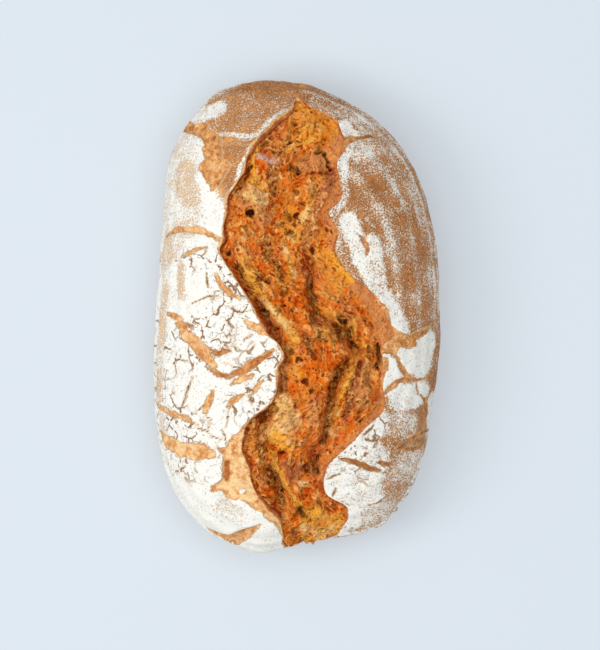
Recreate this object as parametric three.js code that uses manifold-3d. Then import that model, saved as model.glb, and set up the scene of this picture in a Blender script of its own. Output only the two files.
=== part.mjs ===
// A free-form spelt loaf that rose in a ridged basket and burst lengthwise in the oven. Millimetres, +Z up:
// X across the loaf, Y along it, origin at the centre of the flat base. The crust is one closed body. The burst
// is cut out of it between its two lips and filled with torn crumb, so the loaf is a single solid.

import * as THREE from 'three';
import { mergeVertices } from 'three/addons/utils/BufferGeometryUtils.js';
import Module from 'manifold-3d';

// Driving dimensions
const LOAF_LENGTH = 240; // end to end, along Y
const LOAF_WIDTH = 145; // across the widest place, along X
const LOAF_HEIGHT = 72;
const RIM_HEIGHT = 27; // height at which the sides are widest
const BASE_SHARE = 0.82; // how far the flat base reaches, as a share of the outline
const FOOT_ANGLE = 1.1; // how far the side has turned under where it meets the base in an edge
const SIDE_ROUNDNESS = 2.25; // power of the dome's profile across the loaf
const END_ROUNDNESS = 3.0; // and along it, where the ends are blunter

// Burst and lips
const BURST_TOP = 111.5; // where the tear begins, on the flattened surface
const BURST_END = -144; // where it ends, low on the other end of the loaf
const LEFT_DROP = 2.4; // from the left lip down to the crumb
const RIGHT_DROP = 1.0;
const DROP_REACH = 0.34; // share of the burst's width over which the left drop is made up
const CRUMB_LEVEL = -1.6; // the crumb's mean height between the lips, from the crust's surface
const TIP_DROP = 1.8; // how far the crumb lies under the crust at the ends of the tear
const LIP_MARGIN = 3.0; // how far the crumb runs on under the crust
const MARGIN_DIVE = 3.0; // and how much lower it lies at the far side of that margin
const CUT_ABOVE = 14;
const CUT_DEPTH = 15;
const CRUMB_DEPTH = 19;
const LEFT_CURL = 2.2; // how far the left lip stands up
const RIGHT_CURL = 0.7;
const CURL_REACH = 5.0;
const CRAG_HEIGHT = 1.3;
const CRAG_LENGTH = 17;
const SWELL_HEIGHT = 0.7; // slow unevenness of the crust
const SWELL_LENGTH = 62;

// Fineness of the faceted surfaces
const CRUST_AROUND = 96;
const CRUST_ROWS = 26;
const BASE_ROWS = 2; // how many of them lie on the flat base
const CRUMB_ACROSS = 22;
const CRUMB_ALONG = 88;
const GASH_PIECES = 7;

// Outline from above, as shares of the half width and half length, from the far end anticlockwise.
const OUTLINE = [
  [-0.19, 1.0], [-0.424, 0.981], [-0.64, 0.912], [-0.879, 0.687], [-0.938, 0.411], [-0.969, 0.174],
  [-1.0, -0.067], [-0.993, -0.4], [-0.907, -0.681], [-0.662, -0.896], [-0.3, -1.0], [-0.1, -0.983],
  [0.056, -0.96], [0.303, -0.937], [0.493, -0.911], [0.667, -0.848], [0.859, -0.647], [0.945, -0.381],
  [1.0, -0.1], [0.973, 0.292], [0.83, 0.61], [0.552, 0.829], [0.139, 0.97], [-0.026, 0.99],
];

// The lips of the burst on the flattened surface, from its far end to its near end, as (x, y).
const LEFT_LIP = [
  [-0.5, 112], [-3, 105.5], [-10, 99.5], [-20, 89.5], [-24.5, 82], [-28, 71], [-34.5, 60.5], [-36, 52],
  [-37.5, 41], [-38.5, 32], [-31, 19], [-24.5, 9], [-19, -2], [-15, -9], [-9, -14], [-7, -20.5], [-10, -27],
  [-10.5, -38], [-15, -45.5], [-21.5, -50], [-26.5, -57], [-28, -68], [-24.5, -77], [-21.5, -88],
  [-15.5, -97], [-9.5, -103], [-7, -112], [-7.5, -120], [-6, -127], [-1, -136], [4, -146],
];
const RIGHT_LIP = [
  [1, 112], [8, 107], [17, 102], [22, 95], [24, 86], [20.5, 78], [22, 68], [22.5, 60], [17, 54], [17, 50],
  [21.5, 42], [19.5, 33], [26.5, 22], [36, 14], [43, 5], [47, -3], [49, -9], [43.5, -15], [43.5, -22],
  [43.5, -36], [44.5, -46], [37.5, -54], [26.5, -65], [16.5, -75], [13.8, -85], [16, -91], [24.5, -96],
  [26.5, -102], [24.5, -111], [22, -120], [19, -130], [8, -146],
];

// Valleys (negative) and ridges of the torn crumb: rise at the line, half width, and the line.
const CREASES = [
  { rise: -6.5, width: 3.4, line: [[5, 27], [7, 13], [13, 0], [22, -8], [29, -17]] },
  { rise: -7.5, width: 3.6, line: [[29, -17], [21, -31], [16.5, -43], [15, -54], [12, -64], [9, -74]] },
  { rise: -7.0, width: 3.4, line: [[-19, -49], [-18, -59], [-16, -70], [-12.5, -80], [-9, -90], [-8, -98]] },
  { rise: -4.0, width: 3.0, line: [[-33, 31], [-26, 21], [-20, 8], [-14, -2], [-9, -9]] },
  { rise: 3.6, width: 3.0, line: [[-29, 34], [-22, 20], [-14, 7], [-6, -3], [1, -12]] },
  { rise: -3.5, width: 3.6, line: [[-14, 76], [-12, 62], [-11, 48]] },
  { rise: 3.2, width: 2.6, line: [[28, -21], [25, -34], [22, -48]] },
  { rise: 2.6, width: 6.0, line: [[35, -24], [34, -38], [28, -50]] },
  { rise: 3.6, width: 8.0, line: [[-4, -46], [-2, -60]] },
  { rise: 2.6, width: 4.0, line: [[-7, -78], [-1, -88], [4, -95]] },
  { rise: 2.4, width: 5.0, line: [[-24, 60], [-22, 50]] },
  { rise: 2.2, width: 4.0, line: [[16, 68], [10, 50], [4, 38]] },
  { rise: -3.0, width: 2.4, line: [[41, -16], [41, -26], [39, -36]] },
  { rise: -3.2, width: 2.4, line: [[10, 84], [15, 82], [16.5, 76]] },
  { rise: 4.2, width: 2.0, line: [[-5, -119], [-4.6, -123]] },
];

// Gashes and flaked places of the crust: width, depth, and the line they follow on the flattened surface.
const GASHES = [
  { width: 5.0, depth: 3.0, line: [[-61, -3], [-56, -9], [-50, -14], [-46, -20], [-42, -25]] },
  { width: 4.4, depth: 3.0, line: [[-35, -31], [-27, -27], [-22, -24], [-16, -19], [-8, -16]] },
  { width: 3.2, depth: 2.4, line: [[-42, 23], [-38, 16], [-33, 11], [-24, 7]] },
  { width: 3.4, depth: 2.2, line: [[-45, -26], [-39, -29], [-31, -32]] },
  { width: 3.4, depth: 2.0, line: [[-64, 41], [-55, 44], [-48, 43], [-42, 40], [-33, 36]] },
  { width: 6.4, depth: 3.2, line: [[-48, -110], [-40, -116], [-31, -117], [-16, -107]] },
  { width: 3.2, depth: 2.4, line: [[19, -71], [30, -74], [38, -77], [46, -78]] },
  { width: 13.0, depth: 1.6, line: [[-60, 99], [-50, 95], [-43, 84], [-44, 66]] },
];

// Open bubbles: centre, radius and depth.
const BUBBLES = [
  [-23.5, 52, 3.0, 4.5], [-2, 75, 4.0, 3.0], [-15, 36, 4.0, 4.0], [-14, 18, 3.0, 3.0], [24, -7, 5.5, 5.0],
  [12, -10, 3.2, 3.0], [6.5, -15, 3.4, 3.5], [4, -33, 3.0, 2.0], [7.5, -38, 2.6, 3.5], [7, -77, 4.5, 4.5],
  [1, -100, 4.0, 4.5], [36, -17, 3.0, 2.5],
];

const GOLDEN_ANGLE = 2.39996;
const PLAN_SHARE = 0.85; // up to this share of the outline the flattened surface is the plan itself
const PLAN_ANGLE = Math.asin(PLAN_SHARE);

const { clamp, lerp, smoothstep } = THREE.MathUtils;

const flat = ([x, y]) => new THREE.Vector3(x, y, 0);

/** Distances from the middle to the outline, by angle, read off a closed smooth curve. */
function makeRimRadius() {
  const corners = OUTLINE.map(([x, y]) => flat([(x * LOAF_WIDTH) / 2, (y * LOAF_LENGTH) / 2]));
  const curve = new THREE.CatmullRomCurve3(corners, true, 'catmullrom', 0.5);
  const table = curve.getPoints(720).slice(1).map((p) => [Math.atan2(p.y, p.x), Math.hypot(p.x, p.y)]);
  table.sort((a, b) => a[0] - b[0]);
  table.unshift([table.at(-1)[0] - 2 * Math.PI, table.at(-1)[1]]);
  table.push([table[1][0] + 2 * Math.PI, table[1][1]]);
  return (angle) => readTable(table, angle);
}

/** The value at a key in a table of [key, value] pairs sorted by key, with straight lines between them. */
function readTable(table, key) {
  let low = 0;
  let high = table.length - 1;
  while (high - low > 1) {
    const middle = (low + high) >> 1;
    if (table[middle][0] <= key) low = middle;
    else high = middle;
  }
  const share = (key - table[low][0]) / (table[high][0] - table[low][0]);
  return lerp(table[low][1], table[high][1], clamp(share, 0, 1));
}

/** x of a lip at a given y. */
function makeLip(points) {
  const curve = new THREE.CatmullRomCurve3(points.map(flat), false, 'catmullrom', 0.5);
  const table = curve.getPoints(900).map((p) => [p.y, p.x]);
  table.sort((a, b) => a[0] - b[0]);
  return (y) => readTable(table, y);
}

const rimRadius = makeRimRadius();
const leftLip = makeLip(LEFT_LIP);
const rightLip = makeLip(RIGHT_LIP);

/** A smooth irregular height between about -1.5 and 1.5: waves whose directions step by the golden angle. */
function waves(x, y, length, seed) {
  const count = 7;
  let sum = 0;
  for (let i = 1; i <= count; i++) {
    const turn = (i + seed) * GOLDEN_ANGLE;
    const pitch = ((2 * Math.PI) / length) * (0.6 + 0.16 * i);
    sum += Math.sin(pitch * (x * Math.cos(turn) + y * Math.sin(turn)) + 1.7 * seed * i);
  }
  return sum / Math.sqrt(count);
}

/** Distance in plan from (x, y) to a line of points. */
function distanceTo(line, x, y) {
  let least = Infinity;
  for (let i = 1; i < line.length; i++) {
    const [ax, ay] = line[i - 1];
    const [bx, by] = line[i];
    const along = ((x - ax) * (bx - ax) + (y - ay) * (by - ay)) / ((bx - ax) ** 2 + (by - ay) ** 2);
    const t = clamp(along, 0, 1);
    least = Math.min(least, Math.hypot(x - ax - t * (bx - ax), y - ay - t * (by - ay)));
  }
  return least;
}

/** The profile at an angle round the loaf, for a turn from straight up (0) over the rim to the base edge (PI). */
function profile(angle, turn) {
  if (turn > Math.PI / 2) {
    const under = (turn / (Math.PI / 2) - 1) * FOOT_ANGLE;
    const inward = (1 - Math.cos(under)) / (1 - Math.cos(FOOT_ANGLE));
    const down = Math.sin(under) / Math.sin(FOOT_ANGLE);
    return { share: 1 - (1 - BASE_SHARE) * inward, z: RIM_HEIGHT * (1 - down) };
  }
  const power = lerp(SIDE_ROUNDNESS, END_ROUNDNESS, Math.sin(angle) ** 2);
  const share = Math.sin(turn);
  const dome = Math.sqrt(Math.max(0, 1 - share ** power));
  return { share, z: RIM_HEIGHT + (LOAF_HEIGHT - RIM_HEIGHT) * dome };
}

/** A point off the smooth loaf: an angle, a turn over its profile, and a height out from the surface. */
function offSurface(angle, turn, height) {
  const { share, z } = profile(angle, turn);
  const lean = turn > Math.PI / 2 ? turn : (Math.PI / 2) * (turn / (Math.PI / 2)) ** 3;
  const reach = share * rimRadius(angle) + height * Math.sin(lean);
  return new THREE.Vector3(reach * Math.cos(angle), reach * Math.sin(angle), z + height * Math.cos(lean));
}

/** The turn over the profile for a place on the flattened surface, which is the plan over most of the top. */
function turnAt(x, y) {
  const share = Math.hypot(x, y) / rimRadius(Math.atan2(y, x));
  return share < PLAN_SHARE ? Math.asin(share) : PLAN_ANGLE + (share - PLAN_SHARE) / Math.cos(PLAN_ANGLE);
}

/** A point above or below a place on the flattened surface. */
const onLoaf = (x, y, height) => offSurface(Math.atan2(y, x), turnAt(x, y), height);

/** Slow unevenness of the dome, which ends at the rim. */
function swellHeight(x, y) {
  return SWELL_HEIGHT * waves(x, y, SWELL_LENGTH, 3) * smoothstep(Math.PI / 2 - turnAt(x, y), 0, 0.6);
}

/** Height of the crust over the smooth loaf: slow swells, and lips that curl up beside the burst. */
function crustHeight(x, y) {
  const left = leftLip(y);
  const right = rightLip(y);
  const onLeft = x < (left + right) / 2;
  const away = Math.max(0, onLeft ? left - x : x - right);
  const along = smoothstep(BURST_TOP - y, 0, 12) * smoothstep(y, BURST_END, -100);
  return swellHeight(x, y) + along * (onLeft ? LEFT_CURL : RIGHT_CURL) * Math.exp(-away / CURL_REACH);
}

/** Height of the torn crumb: across runs from 0 at the left lip to 1 at the right, beyond is how far outside. */
function crumbHeight(x, y, across, beyond) {
  const fromLeft = smoothstep(across, 0, DROP_REACH);
  const fromRight = smoothstep(1 - across, 0, DROP_REACH);
  const level = lerp(-LEFT_DROP, CRUMB_LEVEL, fromLeft) + lerp(-RIGHT_DROP - CRUMB_LEVEL, 0, fromRight);
  const open = smoothstep(BURST_TOP - y, 0, 14) * smoothstep(y, BURST_END, BURST_END + 14);
  const bentX = x + 1.6 * waves(x, y, 26, 5);
  const bentY = y + 1.6 * waves(x, y, 26, 8);
  let relief = 0;
  for (const { rise, width, line } of CREASES) {
    relief += rise * Math.exp(-((distanceTo(line, bentX, bentY) / width) ** 2));
  }
  for (const [bx, by, radius, depth] of BUBBLES) {
    relief -= depth * Math.max(0, 1 - (Math.hypot(x - bx, y - by) / radius) ** 2);
  }
  const crag = 1 - 1.4 * Math.abs(waves(bentX * 1.25, bentY * 0.8, CRAG_LENGTH, 11));
  const inner = Math.min(fromLeft, fromRight);
  const torn = level + relief + CRAG_HEIGHT * crag * (0.35 + 0.65 * inner);
  return swellHeight(x, y) + lerp(-TIP_DROP, torn, open) - MARGIN_DIVE * (beyond / LIP_MARGIN);
}

/** Moves every vertex of a three.js geometry and leaves a closed shell of positions only. */
function reshape(geometry, move) {
  geometry.deleteAttribute('normal');
  geometry.deleteAttribute('uv');
  const position = geometry.getAttribute('position');
  const point = new THREE.Vector3();
  for (let i = 0; i < position.count; i++) {
    const moved = move(point.fromBufferAttribute(position, i));
    position.setXYZ(i, moved.x, moved.y, moved.z);
  }
  return mergeVertices(geometry, 1e-4);
}

/** The whole crust as a closed body, from a sphere whose rows run from the top over the rim to the base. */
function crustGeometry() {
  const sphere = new THREE.SphereGeometry(1, CRUST_AROUND, CRUST_ROWS).rotateX(Math.PI / 2);
  const sideRows = CRUST_ROWS - BASE_ROWS;
  return reshape(sphere, (p) => {
    const angle = Math.atan2(p.y, p.x);
    const row = Math.round((Math.acos(clamp(p.z, -1, 1)) / Math.PI) * CRUST_ROWS);
    if (row >= sideRows) {
      const reach = BASE_SHARE * rimRadius(angle) * ((CRUST_ROWS - row) / BASE_ROWS);
      return new THREE.Vector3(reach * Math.cos(angle), reach * Math.sin(angle), 0);
    }
    const turn = (row / sideRows) * Math.PI;
    const spread = turn < PLAN_ANGLE ? Math.sin(turn) : PLAN_SHARE + (turn - PLAN_ANGLE) * Math.cos(PLAN_ANGLE);
    const reach = spread * rimRadius(angle);
    return offSurface(angle, turn, crustHeight(reach * Math.cos(angle), reach * Math.sin(angle)));
  });
}

/** A slab that follows the burst between its lips, from one height function down to another. */
function burstSlab(columns, rows, margin, top, bottom) {
  const box = new THREE.BoxGeometry(1, 1, 1, columns, rows, 1);
  return reshape(box, (p) => {
    const y = lerp(BURST_END - margin, BURST_TOP + margin, p.y + 0.5);
    const left = leftLip(y);
    const right = rightLip(y);
    const x = lerp(left - margin, right + margin, p.x + 0.5);
    const across = clamp((x - left) / (right - left), 0, 1);
    const beyond = Math.max(left - x, x - right, 0);
    return onLoaf(x, y, p.z > 0 ? top(x, y, across, beyond) : bottom);
  });
}

/** A cutter for one gash: a four-sided spindle that lies along its line, half sunk in the crust. */
function gashCutter({ width, depth, line }) {
  const path = new THREE.CatmullRomCurve3(line.map(flat), false, 'catmullrom', 0.5);
  const spindle = new THREE.CylinderGeometry(1, 1, 1, 4, GASH_PIECES);
  return reshape(spindle, (p) => {
    const t = clamp(p.y + 0.5, 0, 1);
    const along = path.getTangentAt(t);
    const full = Math.sqrt(Math.sin(Math.PI * lerp(0.02, 0.98, t)));
    const side = (p.x * full * width) / 2;
    const spot = path.getPointAt(t).add(new THREE.Vector3(along.y * side, -along.x * side, 0));
    return onLoaf(spot.x, spot.y, crustHeight(spot.x, spot.y) + p.z * full * depth);
  });
}

/** The loaf as one solid: the crust with the burst cut out of it, joined with the torn crumb. */
async function makeLoaf() {
  const wasm = await Module();
  wasm.setup();
  const solid = (geometry) => new wasm.Manifold(new wasm.Mesh({
    numProp: 3,
    vertProperties: new Float32Array(geometry.getAttribute('position').array),
    triVerts: new Uint32Array(geometry.index.array),
  }));
  const crust = solid(crustGeometry());
  const opening = solid(burstSlab(CRUMB_ACROSS, CRUMB_ALONG, 0, () => CUT_ABOVE, -CUT_DEPTH));
  const crumb = solid(burstSlab(CRUMB_ACROSS, CRUMB_ALONG, LIP_MARGIN, crumbHeight, -CRUMB_DEPTH));
  const gashes = wasm.Manifold.union(GASHES.map((gash) => solid(gashCutter(gash))));
  const { vertProperties, triVerts } = crust.subtract(gashes).subtract(opening).add(crumb).getMesh();
  const geometry = new THREE.BufferGeometry();
  geometry.setAttribute('position', new THREE.BufferAttribute(vertProperties, 3));
  geometry.setIndex(new THREE.BufferAttribute(triVerts, 1));
  geometry.computeBoundingBox();
  const middle = geometry.boundingBox.getCenter(new THREE.Vector3());
  return geometry.translate(-middle.x, -middle.y, 0);
}

const bakedCrust = new THREE.MeshStandardMaterial({ color: 0xd9b892, roughness: 0.85, metalness: 0 });
const loaf = new THREE.Mesh(await makeLoaf(), bakedCrust);
loaf.name = 'loaf';

const group = new THREE.Group();
group.add(loaf);

export default group;
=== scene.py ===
"""A spelt loaf: a floured, basket-ringed crust that has burst open lengthwise over torn crumb.

The smooth form, the two lips and the main creases of the crumb repeat the values of the solid. Places are read off
the loaf in plan, in millimetres from its middle. A mesh gets metres when it is written.
"""

import logging
import math
from dataclasses import dataclass, field
from enum import Enum
from functools import cached_property
from typing import Any, Callable

import bmesh
import bpy
import numpy as np
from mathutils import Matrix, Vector


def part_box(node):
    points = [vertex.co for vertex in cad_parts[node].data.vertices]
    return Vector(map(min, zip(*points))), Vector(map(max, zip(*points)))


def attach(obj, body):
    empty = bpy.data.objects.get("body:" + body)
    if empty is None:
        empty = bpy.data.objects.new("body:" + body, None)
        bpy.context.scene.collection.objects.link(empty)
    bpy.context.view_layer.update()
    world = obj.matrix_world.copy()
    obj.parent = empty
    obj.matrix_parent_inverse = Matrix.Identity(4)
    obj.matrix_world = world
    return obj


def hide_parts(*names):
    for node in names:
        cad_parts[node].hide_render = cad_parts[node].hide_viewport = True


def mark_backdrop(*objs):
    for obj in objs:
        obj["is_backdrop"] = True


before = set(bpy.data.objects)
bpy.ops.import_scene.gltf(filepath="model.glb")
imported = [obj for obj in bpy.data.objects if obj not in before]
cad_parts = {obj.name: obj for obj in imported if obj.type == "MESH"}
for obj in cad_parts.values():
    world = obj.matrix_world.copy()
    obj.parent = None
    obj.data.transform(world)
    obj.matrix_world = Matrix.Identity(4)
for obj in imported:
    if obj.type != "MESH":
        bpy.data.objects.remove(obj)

Array = np.ndarray
Line = tuple[tuple[float, float], ...]
Colour = tuple[float, float, float, float]

METRES = 0.001
GOLDEN_ANGLE = 2.39996
FAR = 9.0
log = logging.getLogger("loaf")


class Skin(Enum):
    """How far a bare place of the crust has browned, from 0 for pale to 1 for dark."""

    YELLOW = 0.12
    PEACH = 0.27
    TAN = 0.34
    GOLDEN = 0.54
    ORANGE = 0.68
    BROWN = 0.92


def paint(red: int, green: int, blue: int) -> Colour:
    """A colour as read off a screen, made linear for the shader.

    Args:
        red: Red from 0 to 255.
        green: Green from 0 to 255.
        blue: Blue from 0 to 255.

    Returns:
        Linear red, green, blue and an alpha of 1.
    """
    parts = [c / 255 for c in (red, green, blue)]
    linear = [c / 12.92 if c <= 0.04045 else ((c + 0.055) / 1.055) ** 2.4 for c in parts]
    return (linear[0], linear[1], linear[2], 1.0)


class Bake(Enum):
    """Colours that the torn crumb has baked to, and DARK, a near-black painted shade for holes and crevices."""

    LILAC = paint(214, 168, 150)
    PALE = paint(250, 208, 140)
    YELLOW = paint(248, 174, 62)
    GOLD = paint(242, 150, 42)
    PINK = paint(218, 140, 84)
    SKIN = paint(220, 138, 80)
    ORANGE = paint(228, 108, 20)
    FIRE = paint(212, 84, 10)
    MAUVE = paint(174, 92, 60)
    RUST = paint(188, 78, 16)
    PLUM = paint(122, 60, 36)
    RED = paint(146, 44, 6)
    BROWN = paint(116, 48, 4)
    OLIVE = paint(128, 66, 6)
    # Painted shade, not a bake.
    DARK = paint(58, 28, 6)


def smoothstep(value: Array, low: float, high: float) -> Array:
    """Runs smoothly from 0 at low to 1 at high."""
    t = np.clip((value - low) / (high - low), 0, 1)
    return t * t * (3 - 2 * t)


def lerp(start: Any, end: Any, share: Any) -> Any:
    """A value part of the way from start to end."""
    return start + (end - start) * share


def catmull_rom(points: Array, closed: bool, count: int) -> Array:
    """A smooth curve through points.

    Args:
        points: The points, one a row.
        closed: Whether the curve returns to its first point.
        count: How many equal steps of the curve's parameter are taken.

    Returns:
        The points of the curve, one a row, count + 1 of them.
    """
    total = len(points)
    if closed:
        padded = np.vstack([points[-1], points, points[0], points[1]])
        spans = total
    else:
        padded = np.vstack([2 * points[0] - points[1], points, 2 * points[-1] - points[-2]])
        spans = total - 1
    place = np.linspace(0, spans, count + 1)
    span = np.minimum(place.astype(int), spans - 1)
    t = (place - span)[:, None]
    p0, p1, p2, p3 = (padded[span + i] for i in range(4))
    slope_in, slope_out = (p2 - p0) / 2, (p3 - p1) / 2
    cubic = 2 * p1 - 2 * p2 + slope_in + slope_out
    square = -3 * p1 + 3 * p2 - 2 * slope_in - slope_out
    return ((cubic * t + square) * t + slope_in) * t + p1


def line_distance(x: Array, y: Array, line: Line, closed: bool = False) -> Array:
    """Distance from each place to a line of points.

    Args:
        x: First coordinate of the places.
        y: Second coordinate of the places.
        line: The points of the line.
        closed: Whether the line returns to its first point.

    Returns:
        The distances.
    """
    ends = list(line) + ([line[0]] if closed else [])
    least = np.full(x.shape, 1e9)
    for (ax, ay), (bx, by) in zip(ends, ends[1:]):
        dx, dy = bx - ax, by - ay
        t = np.clip(((x - ax) * dx + (y - ay) * dy) / (dx * dx + dy * dy), 0, 1)
        least = np.minimum(least, (x - ax - t * dx) ** 2 + (y - ay - t * dy) ** 2)
    return np.sqrt(least)


def patch_distance(x: Array, y: Array, patch: Line) -> Array:
    """Distance from each place to the edge of a patch, negative inside it.

    Args:
        x: First coordinate of the places.
        y: Second coordinate of the places.
        patch: The points of its edge.

    Returns:
        The distances.
    """
    inside = np.zeros(x.shape, bool)
    ends = list(patch) + [patch[0]]
    for (ax, ay), (bx, by) in zip(ends, ends[1:]):
        if ay != by:
            inside ^= ((ay > y) != (by > y)) & (x < (bx - ax) * (y - ay) / (by - ay) + ax)
    return np.where(inside, -1.0, 1.0) * line_distance(x, y, patch, closed=True)


class Noise:
    """Noise over a plane of millimetres, the same in every run."""

    @staticmethod
    def _random(column: Array, row: Array, seed: int) -> Array:
        """A number from 0 to 1 for each square of the plane.

        Args:
            column: Column of the squares.
            row: Row of the squares.
            seed: Number of the pattern.

        Returns:
            The numbers.
        """
        mixed = (column * 374761393 + row * 668265263 + seed * 974634777) & 0xFFFFFFFF
        mixed = ((mixed ^ (mixed >> 13)) * 1274126177) & 0xFFFFFFFF
        return (mixed ^ (mixed >> 16)) / 2.0**32

    @classmethod
    def smooth(cls, x: Array, y: Array, size: float, seed: int) -> Array:
        """Smooth noise.

        Args:
            x: First coordinate of the places.
            y: Second coordinate of the places.
            size: Distance between the noise's own corners.
            seed: Number of the pattern.

        Returns:
            Values from about -1 to 1.
        """
        u, v = x / size, y / size
        column, row = np.floor(u).astype(np.int64), np.floor(v).astype(np.int64)
        fu, fv = u - column, v - row
        ease_u, ease_v = (f**3 * (f * (f * 6 - 15) + 10) for f in (fu, fv))

        def corner(i: int, j: int) -> Array:
            """The slope at one corner of the square, as a height at the place."""
            turn = 2 * math.pi * cls._random(column + i, row + j, seed)
            return np.cos(turn) * (fu - i) + np.sin(turn) * (fv - j)

        low = lerp(corner(0, 0), corner(1, 0), ease_u)
        high = lerp(corner(0, 1), corner(1, 1), ease_u)
        return 1.5 * lerp(low, high, ease_v)

    @classmethod
    def layered(cls, x: Array, y: Array, size: float, seed: int, layers: int = 4) -> Array:
        """Smooth noise with finer noise on it.

        Args:
            x: First coordinate of the places.
            y: Second coordinate of the places.
            size: Size of the largest layer.
            seed: Number of the pattern.
            layers: How many layers, each half as large and half as strong as the one before.

        Returns:
            Values from about -1 to 1.
        """
        total = np.zeros(x.shape)
        for i in range(layers):
            total += cls.smooth(x, y, size / 2**i, seed + 31 * i) / 2**i
        return total / 1.5

    @classmethod
    def bent(cls, x: Array, y: Array, amount: float, size: float, seed: int,
             layers: int = 4) -> tuple[Array, Array]:
        """Places pushed about by noise.

        Args:
            x: First coordinate of the places.
            y: Second coordinate of the places.
            amount: How far they move at most, about.
            size: Size of the noise's largest layer.
            seed: Number of the pattern for x. The one for y is two higher.
            layers: How many layers the noise has.

        Returns:
            The moved places.
        """
        push_x, push_y = (cls.layered(x, y, size, seed + i, layers) for i in (0, 2))
        return x + amount * push_x, y + amount * push_y

    @classmethod
    def ridged(cls, x: Array, y: Array, size: float, seed: int, layers: int = 3) -> Array:
        """Noise with sharp crests, from about 0 to 1.

        Args:
            x: First coordinate of the places.
            y: Second coordinate of the places.
            size: Size of the largest layer.
            seed: Number of the pattern.
            layers: How many layers.

        Returns:
            Values from about 0 to 1.
        """
        total = np.zeros(x.shape)
        for i in range(layers):
            total += (1 - np.abs(cls.smooth(x, y, size / 2**i, seed + 17 * i))) ** 2 / 2**i
        return total / (2 - 2.0 ** (1 - layers))

    @classmethod
    def cells(cls, x: Array, y: Array, size: float, seed: int) -> tuple[Array, Array, Array]:
        """Cells round scattered points, one point in each square of the plane.

        Args:
            x: First coordinate of the places.
            y: Second coordinate of the places.
            size: Side of a square.
            seed: Number of the pattern.

        Returns:
            The distance to the cell's point, how much farther the next point is, which is 0 along the seams, and a
            number from 0 to 1 that belongs to the cell.
        """
        u, v = x / size, y / size
        column, row = np.floor(u).astype(np.int64), np.floor(v).astype(np.int64)
        nearest, second, number = np.full(x.shape, 1e9), np.full(x.shape, 1e9), np.zeros(x.shape)
        for i in (-1, 0, 1):
            for j in (-1, 0, 1):
                pu = column + i + cls._random(column + i, row + j, seed)
                pv = row + j + cls._random(column + i, row + j, seed + 1)
                distance = np.hypot(u - pu, v - pv)
                second = np.minimum(second, np.maximum(nearest, distance))
                closer = distance < nearest
                nearest = np.where(closer, distance, nearest)
                number = np.where(closer, cls._random(column + i, row + j, seed + 2), number)
        return nearest * size, (second - nearest) * size, number


def waves(x: Array, y: Array, length: float, seed: int) -> Array:
    """The solid's own unevenness: seven waves whose directions step by the golden angle.

    Args:
        x: First coordinate of the places.
        y: Second coordinate of the places.
        length: About how long the waves are.
        seed: Number of the pattern.

    Returns:
        Values from about -1 to 1.
    """
    total = np.zeros(x.shape)
    for i in range(1, 8):
        turn = (i + seed) * GOLDEN_ANGLE
        pitch = 2 * math.pi / length * (0.6 + 0.16 * i)
        total += np.sin(pitch * (x * math.cos(turn) + y * math.sin(turn)) + 1.7 * seed * i)
    return total / math.sqrt(7)


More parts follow.
